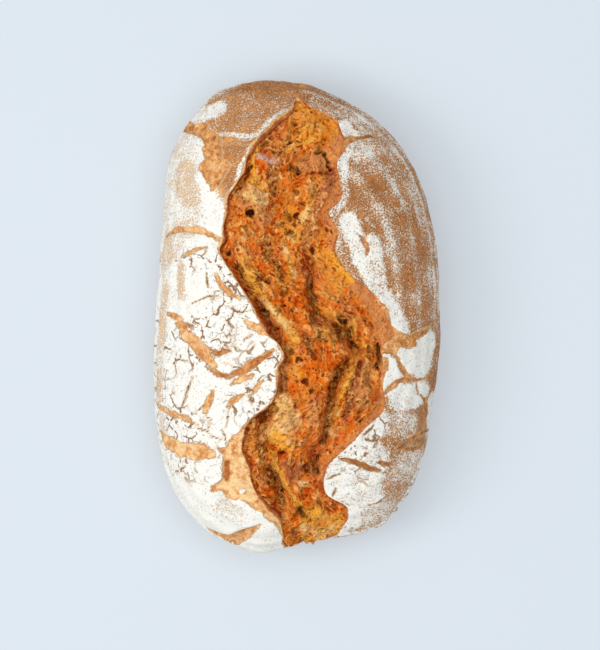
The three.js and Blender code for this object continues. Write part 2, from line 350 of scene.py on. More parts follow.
@dataclass(frozen=True)
class LoafForm:
    """The smooth loaf that crust and crumb lie on, fitted to the solid's box."""

    lower: Vector
    upper: Vector
    dome_height: float = 72.0
    rim_height: float = 27.0
    base_share: float = 0.82
    foot_angle: float = 1.1
    side_roundness: float = 2.25
    end_roundness: float = 3.0
    plan_share: float = 0.85
    outline: Line = (
        (-0.19, 1.0), (-0.424, 0.981), (-0.64, 0.912), (-0.879, 0.687), (-0.938, 0.411), (-0.969, 0.174),
        (-1.0, -0.067), (-0.993, -0.4), (-0.907, -0.681), (-0.662, -0.896), (-0.3, -1.0), (-0.1, -0.983),
        (0.056, -0.96), (0.303, -0.937), (0.493, -0.911), (0.667, -0.848), (0.859, -0.647), (0.945, -0.381),
        (1.0, -0.1), (0.973, 0.292), (0.83, 0.61), (0.552, 0.829), (0.139, 0.97), (-0.026, 0.99),
    )

    @cached_property
    def plan_angle(self) -> float:
        """The turn at which the flattened surface stops being the plan."""
        return math.asin(self.plan_share)

    @cached_property
    def rim_table(self) -> tuple[Array, Array]:
        """Angles round the loaf and the rim's distance at each."""
        curve = catmull_rom(np.array(self.outline), True, 1440)[1:]
        low, high = curve.min(0), curve.max(0)
        box_low, box_high = np.array(self.lower)[:2], np.array(self.upper)[:2]
        curve = box_low + (curve - low) / (high - low) * (box_high - box_low)
        angles = np.arctan2(curve[:, 1], curve[:, 0])
        order = np.argsort(angles)
        return angles[order], np.hypot(curve[:, 0], curve[:, 1])[order]

    def rim(self, angle: Array) -> Array:
        """The rim's distance from the middle at each angle."""
        angles, reach = self.rim_table
        return np.interp(angle, angles, reach, period=2 * math.pi)

    def spread(self, turn: Array) -> Array:
        """The flattened surface's share of the rim, for a turn over the profile."""
        beyond = self.plan_share + (turn - self.plan_angle) * math.cos(self.plan_angle)
        return np.where(turn < self.plan_angle, np.sin(turn), beyond)

    def turn_at(self, x: Array, y: Array) -> Array:
        """The turn over the profile at a place on the flattened surface.

        Args:
            x: Across the flattened surface.
            y: Along the flattened surface.

        Returns:
            The turn, from 0 at the crown to half a circle in the middle of the base.
        """
        share = np.hypot(x, y) / self.rim(np.arctan2(y, x))
        beyond = self.plan_angle + (share - self.plan_share) / math.cos(self.plan_angle)
        return np.where(share < self.plan_share, np.arcsin(np.clip(share, 0, 1)), beyond)

    def flatten(self, plan: Line) -> Line:
        """Moves places read off the plan to where they lie on the flattened surface.

        Args:
            plan: Places as seen from above.

        Returns:
            The same places on the flattened surface, which opens out towards the rim.
        """
        points = np.array(plan)
        angle = np.arctan2(points[:, 1], points[:, 0])
        share = np.hypot(points[:, 0], points[:, 1]) / self.rim(angle)
        wide = self.spread(np.arcsin(np.clip(share, 0, 0.998))) * self.rim(angle)
        return tuple(zip((wide * np.cos(angle)).tolist(), (wide * np.sin(angle)).tolist()))

    def place(self, x: Array, y: Array, height: Array) -> Array:
        """Points above the smooth loaf.

        Args:
            x: Across the flattened surface.
            y: Along the flattened surface.
            height: How far out from the surface.

        Returns:
            The points in space, one a row.
        """
        angle = np.arctan2(y, x)
        turn = np.clip(self.turn_at(x, y), 0, math.pi)
        power = lerp(self.side_roundness, self.end_roundness, np.sin(angle) ** 2)
        share = np.sin(turn)
        dome = np.sqrt(np.clip(1 - share**power, 0, 1))
        above = turn <= math.pi / 2
        under = np.clip(turn / (math.pi / 2) - 1, 0, 1) * self.foot_angle
        inward = (1 - np.cos(under)) / (1 - math.cos(self.foot_angle))
        down = np.sin(under) / math.sin(self.foot_angle)
        z = np.where(above, lerp(self.rim_height, self.dome_height, dome), self.rim_height * (1 - down))
        share = np.where(above, share, lerp(1, self.base_share, inward))
        lean = np.where(above, math.pi / 2 * (turn / (math.pi / 2)) ** 3, turn)
        reach = share * self.rim(angle) + height * np.sin(lean)
        return np.stack([reach * np.cos(angle), reach * np.sin(angle), z + height * np.cos(lean)], 1)

    def swell(self, x: Array, y: Array) -> Array:
        """The solid's slow unevenness of the dome, which ends at the rim."""
        return 0.7 * waves(x, y, 62, 3) * smoothstep(math.pi / 2 - self.turn_at(x, y), 0, 0.6)


@dataclass(frozen=True)
class Burst:
    """The tear along the loaf, between its two lips on the flattened surface."""

    top: float = 111.5
    end: float = -144.0
    left_lip: Line = (
        (-0.5, 112), (-3, 105.5), (-10, 99.5), (-20, 89.5), (-24.5, 82), (-28, 71), (-34.5, 60.5), (-36, 52),
        (-37.5, 41), (-38.5, 32), (-31, 19), (-24.5, 9), (-19, -2), (-15, -9), (-9, -14), (-7, -20.5),
        (-10, -27), (-10.5, -38), (-15, -45.5), (-21.5, -50), (-26.5, -57), (-28, -68), (-24.5, -77),
        (-21.5, -88), (-15.5, -97), (-9.5, -103), (-7, -112), (-7.5, -120), (-6, -127), (-1, -136), (4, -146),
    )
    right_lip: Line = (
        (1, 112), (8, 107), (17, 102), (22, 95), (24, 86), (20.5, 78), (22, 68), (22.5, 60), (17, 54), (17, 50),
        (21.5, 42), (19.5, 33), (26.5, 22), (36, 14), (43, 5), (47, -3), (49, -9), (43.5, -15), (43.5, -22),
        (43.5, -36), (44.5, -46), (37.5, -54), (26.5, -65), (16.5, -75), (13.8, -85), (16, -91), (24.5, -96),
        (26.5, -102), (24.5, -111), (22, -120), (19, -130), (8, -146),
    )

    @staticmethod
    def _read(points: Line, y: Array) -> Array:
        """x of a lip at each y, off a smooth curve through its points.

        Args:
            points: The points of the lip.
            y: Along the flattened surface.

        Returns:
            x of the lip.
        """
        curve = catmull_rom(np.array(points, float), False, 1800)
        curve = curve[np.argsort(curve[:, 1])]
        return np.interp(y, curve[:, 1], curve[:, 0])

    def left(self, y: Array) -> Array:
        """x of the left lip."""
        return self._read(self.left_lip, y)

    def right(self, y: Array) -> Array:
        """x of the right lip."""
        return self._read(self.right_lip, y)


@dataclass(frozen=True)
class Tear:
    """An open line in the crust: its greatest width, its depth, how brown it is, and where it runs in plan."""

    width: float
    depth: float
    skin: Skin
    line: Line


@dataclass(frozen=True)
class Patch:
    """A place where the floured skin has come away: its depth, how brown it is, and its edge in plan."""

    depth: float
    skin: Skin
    edge: Line


@dataclass(frozen=True)
class Dusting:
    """A stroke of more or less flour: how much, how far it reaches from its line, and the line in plan."""

    flour: float
    reach: float
    line: Line


@dataclass(frozen=True)
class Stroke:
    """A strand, a patch or a hollow of the crumb: its colour, which for a dark hollow is painted shade, its reach, its
    line in plan and how far it rises.
    """

    bake: Bake
    reach: float
    line: Line
    rise: float = 0.0


class Shade:
    """A number in a shader that takes arithmetic, so that a mask can be written as an expression."""

    def __init__(self, recipe: "Recipe", socket: bpy.types.NodeSocket) -> None:
        """Wraps an output socket of the recipe's nodes."""
        self.recipe = recipe
        self.socket = socket

    def _math(self, operation: str, first: Any, second: Any) -> "Shade":
        """One Math node."""
        node = self.recipe.node("ShaderNodeMath", {"operation": operation}, {0: first, 1: second})
        return Shade(self.recipe, node.outputs[0])

    def __add__(self, other: Any) -> "Shade":
        """Sum."""
        return self._math("ADD", self, other)

    def __radd__(self, other: Any) -> "Shade":
        """Sum, from the right."""
        return self._math("ADD", other, self)

    def __sub__(self, other: Any) -> "Shade":
        """Difference."""
        return self._math("SUBTRACT", self, other)

    def __rsub__(self, other: Any) -> "Shade":
        """Difference, from the right."""
        return self._math("SUBTRACT", other, self)

    def __mul__(self, other: Any) -> "Shade":
        """Product."""
        return self._math("MULTIPLY", self, other)

    def __rmul__(self, other: Any) -> "Shade":
        """Product, from the right."""
        return self._math("MULTIPLY", other, self)

    def magnitude(self) -> "Shade":
        """The value without its sign."""
        return self._math("ABSOLUTE", self, 0.0)

    def larger(self, other: Any) -> "Shade":
        """The larger of two."""
        return self._math("MAXIMUM", self, other)

    def step(self, low: Any, high: Any) -> "Shade":
        """Runs smoothly from 0 at low to 1 at high, either of which may be a Shade.

        Args:
            low: Where it starts.
            high: Where it ends.

        Returns:
            The number from 0 to 1.
        """
        sockets = {"Value": self, "From Min": low, "From Max": high}
        node = self.recipe.node("ShaderNodeMapRange", {"interpolation_type": "SMOOTHSTEP"}, sockets)
        return Shade(self.recipe, node.outputs[0])


class Recipe:
    """The nodes of one material, on the piece's own coordinates in millimetres."""

    def __init__(self, name: str) -> None:
        """Starts a material with a shader and its output.

        Args:
            name: The name of the material.
        """
        self.material = bpy.data.materials.new(name)
        self.material.use_nodes = True
        self.tree = self.material.node_tree
        self.shader = self.tree.nodes["Principled BSDF"]
        coordinates = self.node("ShaderNodeTexCoord").outputs["Object"]
        self.place = self.scaled(coordinates, (1000, 1000, 1000))

    def node(self, kind: str, settings: dict[str, Any] | None = None,
             sockets: dict[Any, Any] | None = None) -> bpy.types.Node:
        """Adds a node.

        Args:
            kind: The node's type.
            settings: Its properties, and "stops" for a ramp's places and colours, which are set first.
            sockets: Values or links for its inputs, by name or number.

        Returns:
            The node.
        """
        node = self.tree.nodes.new(kind)
        for key, value in (settings or {}).items():
            if key == "stops":
                elements = node.color_ramp.elements
                while len(elements) < len(value):
                    elements.new(1.0)
                for element, (position, colour) in zip(elements, value):
                    element.position = position
                    element.color = colour
            else:
                setattr(node, key, value)
        for key, value in (sockets or {}).items():
            self.feed(node.inputs[key], value)
        return node

    def feed(self, target: bpy.types.NodeSocket, value: Any) -> None:
        """Gives an input a value, or links it to a Shade or a socket.

        Args:
            target: The input.
            value: The value, Shade or socket.
        """
        if isinstance(value, Shade):
            value = value.socket
        if isinstance(value, bpy.types.NodeSocket):
            self.tree.links.new(value, target)
        else:
            target.default_value = value

    def scaled(self, vector: bpy.types.NodeSocket, factors: tuple[float, float, float]) -> bpy.types.NodeSocket:
        """A vector times three factors."""
        return self.node("ShaderNodeVectorMath", {"operation": "MULTIPLY"}, {0: vector, 1: factors}).outputs[0]

    def attribute(self, name: str) -> Shade:
        """A value that is stored on the piece's points."""
        return Shade(self, self.node("ShaderNodeAttribute", {"attribute_name": name}).outputs["Fac"])

    def direction(self, name: str) -> bpy.types.NodeSocket:
        """A vector that is stored on the piece's points."""
        return self.node("ShaderNodeAttribute", {"attribute_name": name}).outputs["Vector"]

    def noise(self, size: float, detail: float = 3, rough: float = 0.55, shift: float = 0.0,
              vector: bpy.types.NodeSocket | None = None) -> Shade:
        """Noise of a size in millimetres, about 0.5 on average.

        Args:
            size: Size of the largest layer.
            detail: How many finer layers lie on it.
            rough: How strong each finer layer is.
            shift: How far the pattern is moved, so that two differ.
            vector: The coordinates, or None for the piece's own.

        Returns:
            The noise.
        """
        moved = self.node("ShaderNodeVectorMath", {"operation": "ADD"},
                          {0: vector or self.place, 1: (shift, shift * 1.7, shift * 0.6)}).outputs[0]
        sockets = {"Vector": moved, "Scale": 1 / size, "Detail": detail, "Roughness": rough}
        return Shade(self, self.node("ShaderNodeTexNoise", {}, sockets).outputs["Fac"])

    def warped(self, size: float, amount: float) -> bpy.types.NodeSocket:
        """The piece's coordinates, pushed about by noise.

        Args:
            size: Size of the noise in millimetres.
            amount: How far it pushes at most, in millimetres.

        Returns:
            The coordinates.
        """
        noise = self.node("ShaderNodeTexNoise", {}, {"Vector": self.place, "Scale": 1 / size, "Detail": 2})
        middle = self.node("ShaderNodeVectorMath", {"operation": "SUBTRACT"},
                           {0: noise.outputs["Color"], 1: (0.5, 0.5, 0.5)}).outputs[0]
        push = self.scaled(middle, (2 * amount,) * 3)
        return self.node("ShaderNodeVectorMath", {"operation": "ADD"}, {0: self.place, 1: push}).outputs[0]

    def cell_edge(self, size: float, vector: bpy.types.NodeSocket) -> Shade:
        """Distance in millimetres to the edge of the nearest cell.

        Args:
            size: Side of a cell in millimetres.
            vector: The coordinates.

        Returns:
            The distance.
        """
        sockets = {"Vector": vector, "Scale": 1 / size}
        node = self.node("ShaderNodeTexVoronoi", {"feature": "DISTANCE_TO_EDGE"}, sockets)
        return Shade(self, node.outputs["Distance"]) * size

    def mix(self, first: Any, second: Any, share: Any) -> bpy.types.NodeSocket:
        """A colour between two."""
        node = self.node("ShaderNodeMix", {"data_type": "RGBA"}, {0: share, 6: first, 7: second})
        return node.outputs[2]

    def darken(self, colour: Any, factor: Colour, share: Any) -> bpy.types.NodeSocket:
        """A colour times a factor, by a share.

        Args:
            colour: The colour.
            factor: The colour that it is multiplied by.
            share: How much of that shows, from 0 to 1.

        Returns:
            The darker colour.
        """
        node = self.node("ShaderNodeMix", {"data_type": "RGBA", "blend_type": "MULTIPLY"},
                         {0: share, 6: colour, 7: factor})
        return node.outputs[2]

    def ramp(self, value: Shade, stops: list[tuple[float, Colour]]) -> bpy.types.NodeSocket:
        """A colour looked up by a number."""
        return self.node("ShaderNodeValToRGB", {"stops": stops}, {0: value}).outputs[0]

    def finish(self, colour: Any, roughness: Any, height: Shade | None = None,
               gloss: float = 0.5) -> bpy.types.Material:
        """Feeds the shader.

        Args:
            colour: The base colour.
            roughness: The roughness.
            height: Relief in millimetres, or None for a smooth surface.
            gloss: Strength of the reflections, the same all over.

        Returns:
            The finished material.
        """
        self.feed(self.shader.inputs["Base Color"], colour)
        self.feed(self.shader.inputs["Roughness"], roughness)
        self.feed(self.shader.inputs["Specular IOR Level"], gloss)
        if height is not None:
            bump = self.node("ShaderNodeBump", {}, {"Height": height, "Distance": METRES, "Strength": 1.0})
            self.feed(self.shader.inputs["Normal"], bump.outputs[0])
        return self.material


def lay_piece(name: str, columns: int, rings: int,
              shape: Callable[[Array, Array], tuple[Array, dict[str, Array]]]) -> bpy.types.Object:
    """Makes a closed piece from a grid that is rolled up, so that its sides and its ends are welded.

    Args:
        name: The piece's name.
        columns: Points in each ring.
        rings: Segments from the first ring to the last.
        shape: From each point's column and ring, both as numbers, to its place in millimetres and its values.

    Returns:
        The piece, smooth shaded, with the values stored on its points.
    """
    bm = bmesh.new()
    bmesh.ops.create_grid(bm, x_segments=columns, y_segments=rings, size=1)
    mesh = bpy.data.meshes.new(name)
    bm.to_mesh(mesh)
    bm.free()
    corner = np.empty(len(mesh.vertices) * 3, np.float32)
    mesh.vertices.foreach_get("co", corner)
    corner = corner.reshape(-1, 3).astype(float)
    column = np.rint((corner[:, 0] + 1) / 2 * columns).astype(int) % columns
    ring = np.rint((corner[:, 1] + 1) / 2 * rings).astype(int)
    places, values = shape(column, ring)
    mesh.vertices.foreach_set("co", (places * METRES).astype(np.float32).ravel())
    for key, value in values.items():
        kind, slot = ("FLOAT", "value") if value.ndim == 1 else ("FLOAT_VECTOR", "vector")
        mesh.attributes.new(key, kind, "POINT").data.foreach_set(slot, value.astype(np.float32).ravel())
    bm = bmesh.new()
    bm.from_mesh(mesh)
    bmesh.ops.remove_doubles(bm, verts=bm.verts, dist=2e-6)
    bmesh.ops.recalc_face_normals(bm, faces=bm.faces)
    for face in bm.faces:
        face.smooth = True
    bm.to_mesh(mesh)
    bm.free()
    piece = bpy.data.objects.new(name, mesh)
    bpy.context.scene.collection.objects.link(piece)
    return piece


@dataclass(frozen=True)
class FlouredCrust:
    """Baked skin under flour that lies thick, lies as specks, or has cracked with the crust."""

    flour: Colour = paint(245, 242, 233)
    thin_flour: Colour = paint(208, 160, 104)
    # The colour of the cracks, also used for the painted shadow line along torn edges.
    crack: Colour = paint(122, 78, 40)
    halo: Colour = paint(226, 190, 146)
    fleck: Colour = paint(160, 122, 78)
    # Painted shade: the colour that darkens the sunk patches and tears, and the walls under the lips.
    hollow_shade: Colour = paint(200, 138, 90)
    clump_size: float = 8.0
    scorch_size: float = 5.0
    worn_size: float = 4.0
    grain_size: float = 2.4
    dust_size: float = 1.3
    speck_size: float = 0.75
    wide_cell: float = 7.6
    fine_cell: float = 3.6
    roughness: float = 0.8
    gloss: float = 0.2
    skins: tuple[tuple[float, Colour], ...] = (
        (0.0, paint(248, 214, 154)), (0.3, paint(238, 192, 142)), (0.5, paint(222, 162, 96)),
        (0.72, paint(200, 130, 72)), (1.0, paint(154, 94, 48)),
    )

    def build(self) -> bpy.types.Material:
        """The material: bare skin by how far it browned, then flour, torn edges with a painted shadow line, cracks and
        flecks over it, and painted shade in the hollows.
        """
        recipe = Recipe("floured_crust")
        bare, crackle = recipe.attribute("bare"), recipe.attribute("crackle")
        flour, toast = recipe.attribute("flour"), recipe.attribute("toast")
        crack, hollow = recipe.attribute("crack"), recipe.attribute("hollow")
        clump, grain = recipe.noise(self.clump_size, 4, 0.6), recipe.noise(self.grain_size, 3, 0.65, 9)
        speck, dust = recipe.noise(self.speck_size, 2, 0.7, 23), recipe.noise(self.dust_size, 1, 0.5, 57)
        ragged = bare + (clump - 0.5) * 1.6 + (grain - 0.5) * 2.2 + (speck - 0.5) * 0.8
        whole = ragged.step(-0.2, 0.35)
        scorch = recipe.noise(self.scorch_size, 3, 0.6, 131).step(0.45, 0.62) * 0.26 + ragged.step(-1.4, 0.1) * 0.1
        browned = toast + (clump - 0.5) * 0.6 + (grain - 0.5) * 1.3 + (speck - 0.5) * 0.9 + scorch * (1 - whole)
        skin = recipe.ramp(browned, list(self.skins))
        cover = flour * 1.6 - 0.15 + (clump - 0.5) * 0.9 + (grain - 0.5) * 1.3 + (speck - 0.5) * 4.0
        covered = (cover + whole * 1.7 - 1.8).step(0.1, 1.0)
        colour = recipe.mix(skin, self.thin_flour, covered.step(0.0, 0.35))
        colour = recipe.mix(colour, self.flour, covered.step(0.3, 0.75) * (flour + 0.38))
        bent = recipe.warped(4.5, 2.4)
        far, near = recipe.cell_edge(self.wide_cell, bent), recipe.cell_edge(self.fine_cell, bent)
        broken, gaps = recipe.noise(4.6, 2, 0.5, 41), recipe.noise(3.0, 2, 0.5, 77)
        wide = (1 - far.step(0.14, 0.62 + (grain - 0.5) * 0.8)) * broken.step(0.48, 0.52)
        narrow = (1 - near.step(0.0, 0.26)) * gaps.step(0.53, 0.57) * 0.65
        halo = (1 - far.step(0.2, 0.9)) * broken.step(0.47, 0.53) * crackle
        halo = halo.larger(1 - crack.step(0.1, 0.9)) * whole
        drawn = 1 - (crack + (speck - 0.5) * 1.2).step(-0.1, 0.3 + (grain - 0.5) * 1.2)
        drawn = drawn.larger(wide.larger(narrow) * crackle) * whole
        worn = recipe.noise(self.worn_size, 2, 0.5, 61).step(0.42, 0.56)
        # torn: a painted shadow line along the edges of bare places, broken up by noise.
        torn = (1 - (ragged - 0.02).magnitude().step(0.0, 0.3)) * worn
        fringe = (1 - (ragged - 0.1).magnitude().step(0.0, 0.8)) * worn
        colour = recipe.mix(colour, self.halo, halo.larger(fringe) * 0.7)
        # Cracks, and the painted shadow line along torn edges, both in the crack colour.
        colour = recipe.mix(colour, self.crack, drawn.larger(torn * 0.45) * 0.85)
        flecks = dust.step(0.66 - (clump - 0.5) * 0.4, 0.76 - (clump - 0.5) * 0.4) * covered
        colour = recipe.mix(colour, self.fleck, flecks * 0.55)
        # Painted shade in the hollows and down the walls beside the crumb.
        colour = recipe.darken(colour, self.hollow_shade, hollow)
        relief = covered * 0.15 + grain * 0.35 + speck * 0.2 - drawn * 0.3 - torn * 0.2 - flecks * 0.1
        return recipe.finish(colour, self.roughness, relief, self.gloss)


@dataclass
class Crust:
    """The crust all round, with its lips, tears and bare places, and the walls that go down beside the crumb."""

    form: LoafForm
    burst: Burst
    half_around: int = 400
    over_rings: int = 106
    base_rings: int = 4
    row_power: float = 1.28
    left_curl: float = 2.2
    right_curl: float = 0.7
    curl_reach: float = 5.0
    wall: tuple[tuple[float, float], ...] = ((0.8, 10.0), (-1.2, 7.0), (-2.2, 3.6), (-1.9, 1.7), (-1.0, 0.5))
    floor_depth: float = 17.0
    left_toast: float = 0.42
    right_toast: float = 0.98
    crown_toast: float = 0.88
    base_toast: float = 0.8
    wall_toast: tuple[float, float] = (0.72, 0.55)
    left_flour: float = 0.96
    right_flour: float = 0.5
    base_flour: float = 0.3
    profile_length: float = 72.0
    basket_pitch: float = 7.4
    basket_depth: float = 0.3
    lump_height: float = 0.8
    grain_height: float = 0.16
    flour_height: float = 0.25
    crack_depth: float = 0.45
    crack_width: float = 0.6
    bare_fringe: float = 0.8
    stripe_width: float = 1.9
    stripes: tuple[tuple[float, float], ...] = ((36, 0.32), (46.5, 0.42), (54, 0.26), (60, 0.36), (66.5, 0.28))
    finish: FlouredCrust = field(default_factory=FlouredCrust)
    patches: tuple[Patch, ...] = (
        Patch(1.3, Skin.GOLDEN, (
            (-57, 98), (-54, 98.5), (-51, 97), (-46, 99), (-44.5, 96), (-40, 92), (-38, 87), (-38, 81),
            (-34, 76), (-37, 71), (-40, 66), (-43, 63), (-46, 68), (-49.5, 75), (-46.5, 80), (-48, 84),
            (-47, 88), (-50, 92), (-54, 92), (-57, 94))),
        Patch(0.7, Skin.ORANGE, ((-38, 89), (-34, 90), (-30, 89.5), (-30, 88.5), (-34, 87.5))),
        Patch(0.7, Skin.ORANGE, ((-29, 88), (-24, 88.5), (-19.5, 90.5), (-22, 87.5), (-28, 86.5))),
        Patch(1.6, Skin.TAN, (
            (-20, -49.5), (-22.2, -51), (-29, -57), (-34, -62), (-36, -66), (-40.7, -66.5), (-37.5, -70), (-38, -78),
            (-37.5, -82.5), (-42.5, -85.5), (-43.7, -89), (-39, -88.5), (-34, -92), (-27.5, -92), (-19, -98),
            (-14, -102), (-9, -107), (-6, -110), (6, -104), (6, -60))),
        Patch(1.2, Skin.PEACH, ((-31.8, -72.5), (-25.5, -71.5), (-22.5, -80), (-24, -86), (-31, -84))),
        Patch(1.9, Skin.YELLOW, (
            (-38, -83), (-33, -82.5), (-27, -84.5), (-21, -88), (-20, -93), (-24, -93.5), (-33, -91), (-40, -87))),
        Patch(3.2, Skin.GOLDEN, ((-37.4, -72.5), (-34.6, -72), (-33.4, -77), (-34.2, -84), (-37, -83.5))),
        Patch(2.2, Skin.TAN, (
            (-46, -106.6), (-40.7, -110.1), (-35.2, -111.4), (-30.7, -109.1), (-26.2, -107.1), (-17.2, -104.6),
            (-21.7, -109.6), (-26.2, -113.7), (-31.7, -115.9), (-35.7, -113.7), (-41.8, -110.6))),
        Patch(0.9, Skin.PEACH, (
            (-70, -57), (-64, -61), (-58, -64), (-48, -64), (-42, -68), (-40, -71.5), (-50, -72.5),
            (-60, -71), (-68, -64))),
        Patch(0.9, Skin.ORANGE, (
            (22, 90), (30, 91), (37, 92), (42, 90.5), (36, 90.2), (31, 89.3), (26, 86), (25, 83), (20, 82))),
        Patch(1.0, Skin.GOLDEN, (
            (36, 13), (40, 10), (45, 4), (47.5, -3), (51, -8), (56, -9.5), (63, -7), (67, -5), (64, -10),
            (60, -12), (61, -14.5), (56, -16), (51, -16), (50, -21), (47.5, -19), (43, -19), (30, -10))),
        Patch(0.8, Skin.GOLDEN, ((38, -20), (45.5, -21), (46, -25), (44.5, -30), (42.5, -36), (38, -38))),
    )
    islands: tuple[Line, ...] = (
        ((-30.5, -88), (-26.5, -87), (-25, -89.5), (-29, -90.5)),
    )
    tears: tuple[Tear, ...] = (
        Tear(6.6, 2.6, Skin.TAN, ((-59, -5), (-55, -10), (-50, -15), (-46, -20), (-41, -26))),
        Tear(2.8, 1.2, Skin.GOLDEN, ((-62, -3.5), (-57, -5), (-52, -4))),
        Tear(4.4, 2.4, Skin.GOLDEN, ((-35, -31), (-27, -27), (-22, -24), (-16, -20), (-12, -17))),
        Tear(2.8, 2.0, Skin.TAN, ((-41, 22), (-38, 16), (-33, 11), (-29, 8.5))),
        Tear(3.2, 2.0, Skin.ORANGE, ((-44, -27), (-39, -29), (-33, -31))),
        Tear(3.0, 1.8, Skin.TAN, ((-67, 40), (-62, 43), (-55, 44.5), (-48, 43), (-42, 40.5), (-37, 36))),
        Tear(2.2, 1.2, Skin.TAN, ((-57, 30), (-51, 33.5), (-45, 35))),
        Tear(2.6, 1.8, Skin.ORANGE, ((-45, -16), (-40, -18.5), (-34, -17.5))),
        Tear(2.4, 1.6, Skin.TAN, ((-33, -34), (-27, -31.5), (-22, -29))),
        Tear(2.6, 1.6, Skin.TAN, ((-24, -40), (-20, -35.5), (-17, -31.5))),
        Tear(2.4, 1.2, Skin.TAN, ((-35, -45), (-31, -41), (-27, -39))),
        Tear(3.4, 1.0, Skin.TAN, ((-46, -48), (-44, -42), (-42, -37))),
        Tear(3.0, 1.0, Skin.TAN, ((-72, -42), (-66, -48), (-58, -51), (-50, -55))),
        Tear(4.4, 1.2, Skin.TAN, ((-26, -3), (-20, -5.5), (-12, -10))),
        Tear(2.8, 1.0, Skin.TAN, ((-66, 2), (-62, 0), (-58, -2))),
        Tear(2.6, 1.8, Skin.BROWN, ((21, -71), (30, -74), (38, -77), (44, -78.5))),
        Tear(1.6, 1.0, Skin.BROWN, ((39, -73), (44, -74), (49, -75))),
        Tear(2.2, 1.2, Skin.ORANGE, ((30, 42), (33, 38), (35.5, 35), (35, 31))),
        Tear(2.2, 1.4, Skin.GOLDEN, ((49, -15), (50, -20), (53, -27), (57, -31), (61, -32), (66, -30))),
        Tear(2.4, 1.4, Skin.GOLDEN, ((44, -39), (47, -36), (51, -33), (58, -31))),
        Tear(2.4, 1.0, Skin.ORANGE, ((62, -39), (65, -43), (66, -49), (64, -56))),
        Tear(2.8, 1.2, Skin.ORANGE, ((50, -67), (57, -64.5), (61, -60), (67, -56))),
        Tear(2.4, 1.2, Skin.ORANGE, ((53, -67), (60, -67), (66, -62))),
    )
    cracks: tuple[Line, ...] = (
        ((-46, 22), (-45, 18), (-44.5, 15)), ((-53, 7), (-48, 9), (-45, 10.5), (-39, 10)),
        ((-35.5, 5), (-32, 3.5), (-28, 2.5), (-23, 3)), ((-33, -4.5), (-34, -10)),
        ((-39, -12.7), (-33.5, -13), (-32, -10.5)), ((-36.5, -14.5), (-32, -15), (-31, -17.5), (-24, -17)),
        ((-37, -23), (-33.5, -23.5), (-32, -25.5), (-23, -24.5)), ((-22, -9), (-26, -11), (-27, -12.5)),
        ((-21, -14), (-23, -17), (-25, -18)), ((-59, -22), (-54, -23.5), (-52, -26)),
        ((-53, -30), (-55, -35), (-56, -41), (-59, -46)), ((-52, -56), (-46, -58), (-42, -61), (-38, -62)),
        ((-38, -57), (-36, -60), (-36, -64)), ((-22, -47), (-24, -41), (-27, -38)),
        ((-33, -43), (-35, -49), (-36, -56)),
        ((-47, -49), (-43, -52)), ((-45, -53), (-44, -57)), ((-50, -48), (-45, -43)),
        ((-44, -88), (-38, -88), (-33, -92)), ((-41, -65), (-37, -70)),
        ((47, -15), (48, -20)), ((15, -82), (22, -80)),
        ((36, -96), (43, -93), (47, -90)), ((-37, -74), (-37, -81.5)), ((39, -54), (36, -57), (33, -60)),
        ((23, 37), (24, 33)), ((-40, 34), (-38, 30)), ((60, -33), (61, -40)), ((18, -91), (20, -87)),
    )
    dustings: tuple[Dusting, ...] = (
        Dusting(0.26, 30, ((-30, 105), (-8, 112))),
        Dusting(0.32, 16, ((-36, 100), (-20, 100))),
        Dusting(0.8, 7, ((-48, 103), (-41, 105))),
        Dusting(0.22, 12, ((-34, 84), (-31, 64))),
        Dusting(0.62, 2.8, ((-6, 103), (-14, 97), (-22, 88))),
        Dusting(0.75, 1.3, ((-23, 86), (-28, 76), (-33, 63))),
        Dusting(0.62, 1.4, ((-41, 92.5), (-30, 91), (-20, 91.5))),
        Dusting(0.7, 18, ((-58, 92), (-62, 70), (-62, 50))),
        Dusting(0.5, 9, ((-57, 72), (-55, 62))),
        Dusting(0.55, 8, ((-60, 43), (-66, 30))),
        Dusting(0.54, 4.0, ((-66, 44), (-68, 10), (-69.5, -22), (-70, -40), (-68, -58))),
        Dusting(0.55, 3, ((-59, 26), (-58.5, 10))),
        Dusting(0.25, 46, ((48, 90), (58, 40), (60, 0), (60, -40))),
        Dusting(0.34, 7, ((56, 72), (67, 42), (71, 2), (70, -22))),
        Dusting(0.55, 9, ((33, 86), (40, 88))),
        Dusting(0.85, 4, ((24, 96), (28, 92))),
        Dusting(0.6, 5, ((34, 96), (38, 93))),
        Dusting(0.42, 14, ((30, 104), (48, 88))),
        Dusting(0.72, 8, ((-36, -98), (-30, -101))),
        Dusting(0.14, 13, ((-20, 118), (4, 114), (16, 110))),
        Dusting(0.3, 8, ((12, 108), (22, 104))),
        Dusting(0.6, 2.1, ((27, 86), (24, 79), (24, 68), (25, 61), (20, 54), (16, 51))),
        Dusting(0.82, 6, ((26, 48), (29, 40), (32, 30), (38, 20), (44, 8), (49, 0), (52, -6))),
        Dusting(0.7, 5, ((38, 38), (40, 26), (42, 14))),
        Dusting(0.97, 8, ((48, -22), (47, -34))),
        Dusting(0.9, 9, ((58, -20), (62, -24), (66, -14))),
        Dusting(0.85, 8, ((52, -42), (62, -38))),
        Dusting(0.85, 5, ((68, -42), (68, -60))),
        Dusting(0.55, 9, ((50, -54), (56, -56))),
        Dusting(0.88, 9, ((40, -52), (34, -62), (26, -72), (20, -84), (22, -92))),
        Dusting(0.8, 12, ((36, -72), (34, -84), (34, -92))),
        Dusting(0.48, 12, ((58, -74), (54, -88))),
        Dusting(0.6, 9, ((46, -100), (34, -102))),
        Dusting(0.95, 4.5, ((28, -97), (29, -106), (20, -112), (40, -108), (54, -94), (64, -72))),
    )

